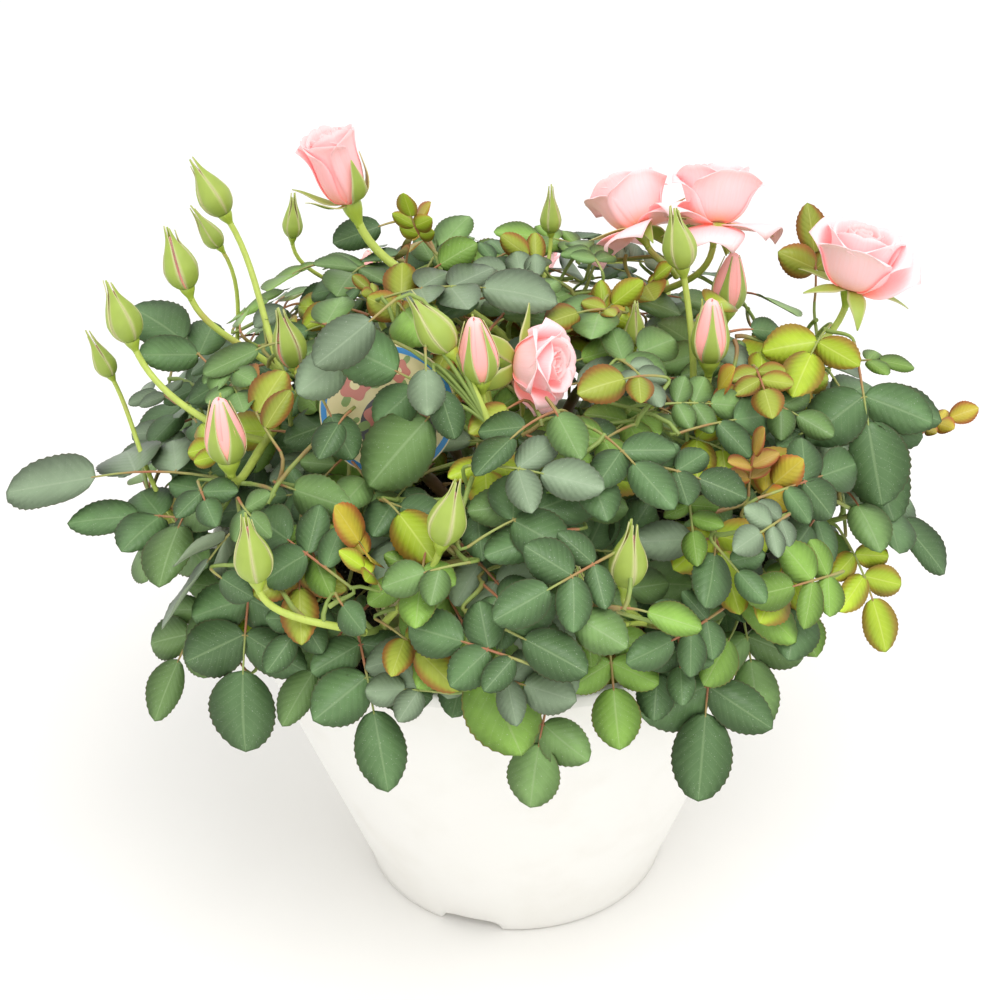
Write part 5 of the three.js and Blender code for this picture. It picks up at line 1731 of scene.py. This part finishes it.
def makeLeaves():
    rng = np.random.default_rng(leafForm["seed"])
    shapes = [leafletMesh(f"leaflet_{i}", rng) for i in range(leafForm["shapes"])]
    for tint in leafTints:
        sprays = [spray for spray in sprayList if spray["tint"] == tint]
        leaves = [(leaf, spray["scale"]) for spray in sprays for leaf in spray["kept"]]
        bases = [leaf["base"] for leaf, _ in leaves]
        sizes = [leaf["length"] * scale * mm for leaf, scale in leaves]
        turns = turnsOf(*np.array([litFrame(leaf, tint) for leaf, _ in leaves]).transpose(1, 0, 2))
        numbers, shades = rng.integers(0, len(shapes), len(leaves)), rng.uniform(0, 1, len(leaves))
        finishes = ("leaf_" + tint, "under_" + tint)
        scatterPiece(
            "leaves_" + tint, shapes, bases, turns, sizes, numbers, finishes, "foliage", *foliageNodes,
            shade=("FLOAT", shades),
        )


# A petal: a sheet along a centre line that leans out from the flower's axis, wrapped round that axis
def petalGrid(form, rows, cols, wobble):
    u, s = np.linspace(-1, 1, cols), np.linspace(0, 1, rows) ** 0.85
    uu, ss = np.meshgrid(u, s)
    reach = ss * (1 - form["round"] * np.abs(uu) ** 2.6 - 0.03 * np.exp(-(uu / 0.12) ** 2) * ss)
    fine = np.linspace(0, 1, 61)
    angle = np.radians(np.interp(fine, np.linspace(0, 1, len(form["angles"])), form["angles"]))
    step = form["length"] / 60
    r = form["start"][0] + np.concatenate([[0], np.cumsum(np.sin(angle[:-1]) * step)])
    z = form["start"][1] + np.concatenate([[0], np.cumsum(np.cos(angle[:-1]) * step)])
    pr, pz, pa = (np.interp(reach, fine, row) for row in (r, z, angle))
    grow = np.sin(np.minimum(1, ss / 0.62) * math.pi / 2)
    shrink = np.maximum(0, (ss - 0.62) / 0.38)
    half = form["width"] / 2 * (form["claw"] + (1 - form["claw"]) * grow)
    half *= 1 - form["narrow"] * shrink ** 2
    radius = np.maximum(pr * form["wrap"], 0.9)
    phi = uu * np.minimum(half / radius, 2.2)
    side = np.abs(uu) ** 2.4 * np.minimum(1, 0.2 + ss)
    top = np.maximum(0, (ss - 0.6) / 0.4) ** 2
    out = form["roll"] * (0.35 * side + 0.5 * top + 1.7 * side * top)
    out += form["ruffle"] * np.maximum(side, top) * np.sin(uu * 3.1 + wobble * 3) * 0.7
    out -= form["hollow"] * np.sin(math.pi * ss) * (1 - uu ** 2)
    out += form["spiral"] * uu
    radial = pr - radius * (1 - np.cos(phi)) + np.cos(pa) * out * np.cos(phi)
    lateral = radius * np.sin(phi) + np.cos(pa) * out * np.sin(phi)
    height = pz - np.sin(pa) * out - form["sag"] * (uu ** 2) * ss * np.sin(pa)
    return np.stack([radial, lateral, height], 2)


# A sheet that lies on a turned profile: (radius, height) pairs along it, and its width at each
def wrapGrid(profile, widths, rows, cols, lift, bend):
    s, u = np.linspace(0, 1, rows), np.linspace(-1, 1, cols)
    keys = np.linspace(0, 1, len(profile))
    r = np.interp(s, keys, [p[0] for p in profile]) + lift
    z = np.interp(s, keys, [p[1] for p in profile])
    half = np.interp(s, np.linspace(0, 1, len(widths)), widths) / 2
    uu, rr = np.meshgrid(u, r)
    phi = uu * np.minimum(half / np.maximum(r, 0.5), 2.6)[:, None]
    flat = np.maximum(rr, 0.5)
    ridge = 0.12 * np.abs(uu) ** 3
    radial = rr - flat * (1 - np.cos(phi)) + ridge * np.cos(phi) + (bend * s ** 3)[:, None]
    lateral = flat * np.sin(phi) + ridge * np.sin(phi)
    return np.stack([radial, lateral, np.repeat(z[:, None], cols, 1)], 2)


# Adds a grid as a sheet; turns are degrees round the flower's axis, from its front to its right
def setOn(stock, grid, flower, turn, thickness, shade):
    foot, axis = flower["foot"], flower["axis"]
    front = squareTo(np.array([0.0, -1.0, 0.0]), axis)
    right = cross(axis, front)
    c, s = math.cos(math.radians(turn)), math.sin(math.radians(turn))
    radial, around = front * c + right * s, right * c - front * s
    placed = foot + grid[..., 0:1] * radial + grid[..., 1:2] * around + grid[..., 2:3] * axis
    sheetAdd(stock, placed, thickness, shade)


petalBase = {
    "round": 0.12, "claw": 0.3, "narrow": 0.3, "wrap": 1.05, "roll": 0.6, "ruffle": 0.3, "hollow": 0.4,
    "spiral": 0.0, "sag": 0.0,
}
# Whorls of a cup, outside first: length, width, place of the foot, leans from foot to tip, roll, tint,
# and what else differs from the base
whorlKeys = ("length", "width", "start", "angles", "roll", "tint")
roseWhorls = [
    (23, 28, (2.4, 7.4), (82, 43, 17, 14, 48), 1.7, "rose", {"wrap": 1.12, "ruffle": 0.7}),
    (23, 27, (2.2, 7.6), (74, 33, 11, 8, 30), 1.2, "rose", {"ruffle": 0.5}),
    (22, 24, (1.8, 7.8), (64, 25, 8, 5, 18), 0.8, "rose", {"ruffle": 0.4, "spiral": 0.6}),
    (20, 18, (1.4, 8.0), (48, 15, 3, 1, 10), 0.5, "heart", {"spiral": 0.8}),
    (18.5, 12.5, (1.0, 8.2), (32, 9, 0, -3, 4), 0.35, "heart", {"spiral": 0.8, "hollow": 0.2}),
    (17.5, 8, (0.6, 8.3), (16, 5, -1, -3, 0), 0.2, "heart", {"spiral": 0.6, "hollow": 0.1}),
]
halfWhorls = [
    (25, 22, (2.2, 8.0), (66, 16, 1, -2, 20), 1.4, "blush", {
        "ruffle": 0.4, "claw": 0.5, "narrow": 0.15, "round": 0.06,
    }),
    (25.5, 20, (1.9, 8.2), (57, 12, 0, -3, 10), 1.0, "blush", {"claw": 0.5, "spiral": 0.7}),
    (25, 16, (1.4, 8.4), (42, 8, -1, -3, 4), 0.6, "heart", {"claw": 0.5, "spiral": 0.8}),
    (24.5, 11, (0.9, 8.6), (26, 6, -1, -3, 0), 0.3, "heart", {"claw": 0.55, "spiral": 0.7}),
]
whorlTurns = {"petals": 3, "step": 61, "sway": (-7, 7), "lean": (-4, 4)}
# Petals that fold right out below the cup
bentPetal = {
    "length": 22, "width": 23, "start": (2.4, 7.2), "wrap": 2.2, "roll": 1.4, "ruffle": 0.9, "sag": 2.5,
    "hollow": -0.6, "tint": "rose",
}
# Looks of the blooms by their row: lean from upright, the turn it goes to, size, the turn of the cup's first
# petal, and for each petal that folds out its turn and its leans from foot to tip
blooms = {
    0: (17, -88, 1.0, -40, ()),
    1: (24, 172, 1.0, 10, (
        (68, (92, 84, 92, 118)), (-72, (88, 66, 58, 96)),
        (-12, (96, 104, 120, 140)), (178, (84, 70, 78, 100)),
    )),
    2: (44, -150, 0.92, 40, (
        (-96, (90, 82, 92, 112)), (-20, (94, 100, 112, 130)),
        (60, (90, 84, 92, 110)), (165, (84, 70, 74, 90)),
    )),
    3: (10, 75, 1.04, -24, ((102, (88, 52, 34, 56)),)),
    4: (82, 62, 0.76, -30, ((176, (90, 56, 44, 60)), (100, (86, 50, 36, 60)))),
    24: (40, 176, 0.95, 0, ((120, (88, 74, 84, 100)), (-70, (88, 70, 70, 90)))),
}
petalSheet = {"rows": 12, "cols": 15, "thickness": 0.2}
sepalSheet = {"rows": 12, "cols": 7, "thickness": 0.3}
# Profiles of bud bodies as pairs of radius and height
closedBud = [
    (2.2, 4.2), (3.7, 5.6), (4.8, 7.8), (5.2, 10.4), (4.7, 13.0), (3.5, 15.6), (2.1, 17.8), (1.1, 20.0),
    (0.6, 23.0),
]
openBud = [
    (3.1, 5.4), (4.9, 7.2), (5.9, 10.0), (6.0, 13.0), (5.4, 16.0), (4.5, 19.0), (3.5, 22.0), (2.5, 24.6),
    (1.7, 26.0),
]
# Buds: share of the round that the sepals cover, how far their tips reach and stand off, share of the body's
# width and height that the petals fill, and the widths of a sepal along it
budForms = {
    "pinkBud": {"size": 0.96, "body": openBud, "cover": 1.0, "tips": (0.9, 1.05), "bend": (0.2, 3.4),
                "fill": (1.0, 0.97), "widths": (1.1, 1.0, 0.82, 0.62, 0.46, 0.34, 0.24, 0.14, 0.1)},
    "bud": {"size": 1.0, "body": closedBud, "cover": 1.08, "tips": (0.95, 1.22), "bend": (0.0, 1.4),
            "fill": (0.9, 0.84), "widths": (1.0, 1.0, 1.0, 1.0, 1.0, 1.0, 1.0, 0.8, 0.5)},
    "smallBud": {"size": 0.64, "body": closedBud, "cover": 1.12, "tips": (1.3, 1.7), "bend": (0.0, 0.5),
                 "fill": (0.85, 0.84), "widths": (1.0, 1.0, 1.0, 1.0, 1.0, 0.9, 0.85, 0.7, 0.5)},
}
blushTurns = {10: -62, 17: 8, 18: -30, 6: 10}      # buds that show a pink stripe, and where it faces
openSepals = {
    "rose": {
        "length": 18, "width": 6.5, "angles": (84, 94, 98, 102), "spread": 20, "hang": (0, 2), "first": 12,
        "hanging": 1.1,
    },
    "half": {
        "length": 19, "width": 7, "angles": (80, 30, 3, 0), "spread": 8, "hang": (3, 4), "first": 38,
        "hanging": 0.55,
    },
}
sepalBase = {**petalBase, "claw": 0.7, "round": 0.0, "wrap": 1.6, "roll": 0.0, "ruffle": 0.15, "narrow": 0.0}
sepalTaper = ((0, 0.3, 0.65, 1), (0.8, 1.0, 0.5, 0.05))
# The swollen foot of a flower: radius and height, and its profile as shares of them
hipForm = {
    "rose": (3.1, 8.0), "half": (3.3, 8.6), "pinkBud": (3.5, 6.2), "bud": (2.5, 5.0),
    "smallBud": (1.6, 3.4),
}
hipShares = (
    (0, -0.1), (0, 0), (0.12, 0.14), (0.45, 0.34), (0.82, 0.56), (1.0, 0.76), (0.97, 0.92), (0.88, 1.04),
)


def hipAdd(stock, flower, kind):
    radius, tall = hipForm[kind]
    neck = stalkGirth[kind] * stemForm["stalk"][1]
    rows = [(neck + (radius - neck) * share, z * tall) for share, z in hipShares] + [(0.2, tall * 1.1)]
    limbAdd(stock, [flower["foot"] + flower["axis"] * z for _, z in rows], [r for r, _ in rows], 16)


def openSepalsAdd(stock, flower, kind, rng):
    form, sheet = openSepals[kind], sepalSheet
    radius, tall = hipForm[kind]
    taper = np.interp(np.linspace(0, 1, sheet["rows"]), *sepalTaper)[:, None, None]
    for i in range(5):
        wobble = rng.uniform(-1, 1)
        hangs = i in form["hang"]
        angles = np.array(form["angles"], float) + form["spread"] * wobble * np.linspace(0.3, 1, 4)
        grid = petalGrid({
            **sepalBase, "length": form["length"] * (1 + 0.1 * wobble),
            "width": form["width"] * (form["hanging"] if hangs else 1.0),
            "angles": angles + np.linspace(10, 70, 4) * hangs, "start": (radius * 0.85, tall * 0.94),
        }, sheet["rows"], sheet["cols"], wobble)
        middle = grid[:, sheet["cols"] // 2][:, None]
        grid = middle + (grid - middle) * taper
        turn = form["first"] + 72 * i + 8 * wobble
        setOn(stock, grid, flower, turn, sheet["thickness"], rng.uniform(0, 1))


def petalAdd(stocks, flower, form, turn, size, rng):
    wobble = rng.uniform(-1, 1)
    sheet = {**petalBase, **form}
    sheet["length"] *= size * (1 + 0.04 * wobble)
    sheet["width"] *= size
    lean = rng.uniform(*whorlTurns["lean"])
    sheet["angles"] = form["angles"] + lean * np.linspace(0.2, 1, len(form["angles"]))
    grid = petalGrid(sheet, petalSheet["rows"], petalSheet["cols"], wobble)
    setOn(stocks[form["tint"]], grid, flower, turn, petalSheet["thickness"], rng.uniform(0, 1))


def petalsAdd(stocks, flower, whorls, look, rng):
    _, _, size, first, bent = look
    for turn, angles in bent:
        petalAdd(stocks, flower, {**bentPetal, "angles": angles}, turn, size, rng)
    for k, row in enumerate(whorls):
        whorl = {**dict(zip(whorlKeys, row)), **row[-1]}
        for i in range(whorlTurns["petals"]):
            turn = first + 360 / whorlTurns["petals"] * i + whorlTurns["step"] * k
            turn += rng.uniform(*whorlTurns["sway"])
            petalAdd(stocks, flower, whorl, turn, size, rng)


# Three petals rolled round each other, and five sepals over them
def budAdd(petals, sepals, flower, kind, blush, rng):
    form, cols = budForms[kind], petalSheet["cols"]
    size, (wide, high) = form["size"], form["fill"]
    outline = [(r * size, z * size) for r, z in form["body"]]
    rows = [(r * wide, z * high + 0.5) for r, z in outline]
    for i in range(3):
        inner = [(r, z + 0.4 * i) for r, z in rows] + [(0.3, rows[-1][1] + 0.6 + 0.4 * i)]
        grid = wrapGrid(inner, [1.2 * math.pi * r for r, _ in inner], 14, cols, -0.12 * i, 0)
        grid[..., 0] += np.linspace(-0.3, 0.3, cols) * size
        grid[-3:, :, 2] -= np.linspace(-1, 1, cols) ** 2 * np.array([0.3, 0.8, 1.4])[:, None] * size
        setOn(petals, grid, flower, 120 * i + rng.uniform(0, 60), petalSheet["thickness"], rng.uniform(0, 1))
    first = rng.uniform(0, 72) if blush is None else blush + 36
    for i in range(5):
        cover = form["cover"] * rng.uniform(0.97, 1.05)
        if blush is not None and i in (0, 4):
            cover *= 0.8
        tall = rng.uniform(*form["tips"]) * (1 if i else 1.08)
        base = outline[4][1]
        path = outline[:5] + [(r, base + (z - base) * tall) for r, z in outline[5:]]
        widths = [max(0.35, 2 * math.pi * r * cover / 5 * w) for (r, _), w in zip(outline, form["widths"])]
        bend = form["bend"][1] * size if i == 2 else rng.uniform(*form["bend"]) * 0.4 * size
        lift = 0.14 + 0.12 * (i % 2)
        grid = wrapGrid(path, widths, sepalSheet["rows"] + 2, sepalSheet["cols"], lift, bend)
        turn = first + 72 * i + rng.uniform(-3, 3)
        setOn(sepals, grid, flower, turn, sepalSheet["thickness"], rng.uniform(0.2, 0.8))


# Gives a bloom the lean that the eye sees, about the same middle, and its stalk a new end
def poseBloom(flower, row, look):
    lean, toward = look[:2]
    axis = bearing(toward, lean - 90)
    foot = place(*row[1:4]) - axis * bloomSizes[flower["kind"]][1] / 2
    start, bend = flower["stalk"][:2]
    stalk = twigCurve((start, unit(bend - start)), foot + axis * 1.5, axis)
    flower.update(axis=axis, foot=foot, stalk=stalk)


def makeFlowers():
    stocks = {tint: newStock() for tint in ("rose", "heart", "blush", "bud")}
    sepals, hips = newStock(), newStock()
    for number, flower in enumerate(flowerList):
        rng = np.random.default_rng(300 + number)
        kind = flower["kind"]
        hipAdd(hips, flower, kind)
        if number in blooms:
            petalsAdd(stocks, flower, roseWhorls if kind == "rose" else halfWhorls, blooms[number], rng)
            openSepalsAdd(sepals, flower, kind, rng)
        else:
            budAdd(stocks["bud"], sepals, flower, kind, blushTurns.get(number), rng)
    for tint, stock in stocks.items():
        stockPiece(tint + "_petals", stock, ["petal_" + tint], "foliage", *foliageNodes)
    stockPiece("sepals", sepals, ["sepal_green"], "foliage", *foliageNodes)
    stockPiece("hips", hips, ["hip_green"], "foliage", *foliageNodes)


for number, look in blooms.items():
    poseBloom(flowerList[number], flowerRows[number], look)
makeStems()
print("stems and stalks are made")
makeLeaves()
print("leaves are made")
makeFlowers()
print("blooms and buds are made")


# Camera at the photograph's place, in millimetres and degrees
cameraForm = {
    "place": (-3.85, -518.3, 431.8), "target": (-3.85, 0, 146.9), "roll": 1.06, "lens": 61.2, "film": 36,
}


def makeCamera():
    form = cameraForm
    eye, target = np.array(form["place"]), np.array(form["target"])
    ahead = unit(target - eye)
    right = unit(cross(ahead, upward))
    top = cross(right, ahead)
    c, s = math.cos(math.radians(form["roll"])), math.sin(math.radians(form["roll"]))
    turned = np.array([c * right - s * top, s * right + c * top, -ahead]).T
    camera = newPiece("camera", bpy.data.cameras.new("camera"))
    camera.data.lens = form["lens"]
    camera.data.sensor_width = form["film"]
    camera.data.clip_start = 0.01
    camera.matrix_world = Matrix.Translation(Vector(eye * mm)) @ Matrix(turned.tolist()).to_4x4()
    bpy.context.scene.camera = camera


# A pale studio, in metres: white surroundings, one broad lamp above and in front, and a floor paler far away
studio = {
    "keyPower": 12.0, "keySize": 1.1, "keyPlace": (0.25, -0.75, 1.5), "keyTarget": (0, 0, 0.15),
    "floorReach": 20.0, "floorSides": 48, "fade": (0.12, 1.2), "near": (0.925, 0.91, 0.88),
    "far": (0.94, 0.94, 0.935), "farGlow": (0.07, 0.07, 0.075),
}


def makeStudio():
    world = bpy.data.worlds.new("studio")
    bpy.context.scene.world = world
    world.use_nodes = True
    world.node_tree.nodes["Background"].inputs["Color"].default_value = (1, 1, 1, 1)
    lamp = bpy.data.lights.new("key", "AREA")
    lamp.shape = "DISK"
    lamp.size = studio["keySize"]
    lamp.energy = studio["keyPower"]
    key = newPiece("key", lamp)
    key.location = studio["keyPlace"]
    key.rotation_euler = (Vector(studio["keyTarget"]) - key.location).to_track_quat("-Z", "Y").to_euler()
    tree, shader = newMaterial("pale_floor", 0.7, Specular_IOR_Level=0.2, Emission_Strength=1)
    reach = newNode(tree, "ShaderNodeVectorMath", {0: objectPlace(tree)}, operation="LENGTH")
    far = spread(tree, reach.outputs["Value"], *studio["fade"])
    tree.links.new(mixColour(tree, far, studio["near"], studio["far"]), shader.inputs["Base Color"])
    tree.links.new(mixColour(tree, far, (0, 0, 0), studio["farGlow"]), shader.inputs["Emission Color"])
    size, angles = studio["floorReach"] / mm, ringAngles(studio["floorSides"])
    top = np.stack([size * np.cos(angles), size * np.sin(angles), 0 * angles], 1)
    stock = newStock()
    stockAdd(stock, top, [tuple(range(len(top)))], top[:, :2])
    floor = newPiece("studio_floor", meshOf("studio_floor", stock, ["pale_floor"]))
    bpy.context.scene.view_settings.view_transform = "Standard"


makeCamera()
makeStudio()
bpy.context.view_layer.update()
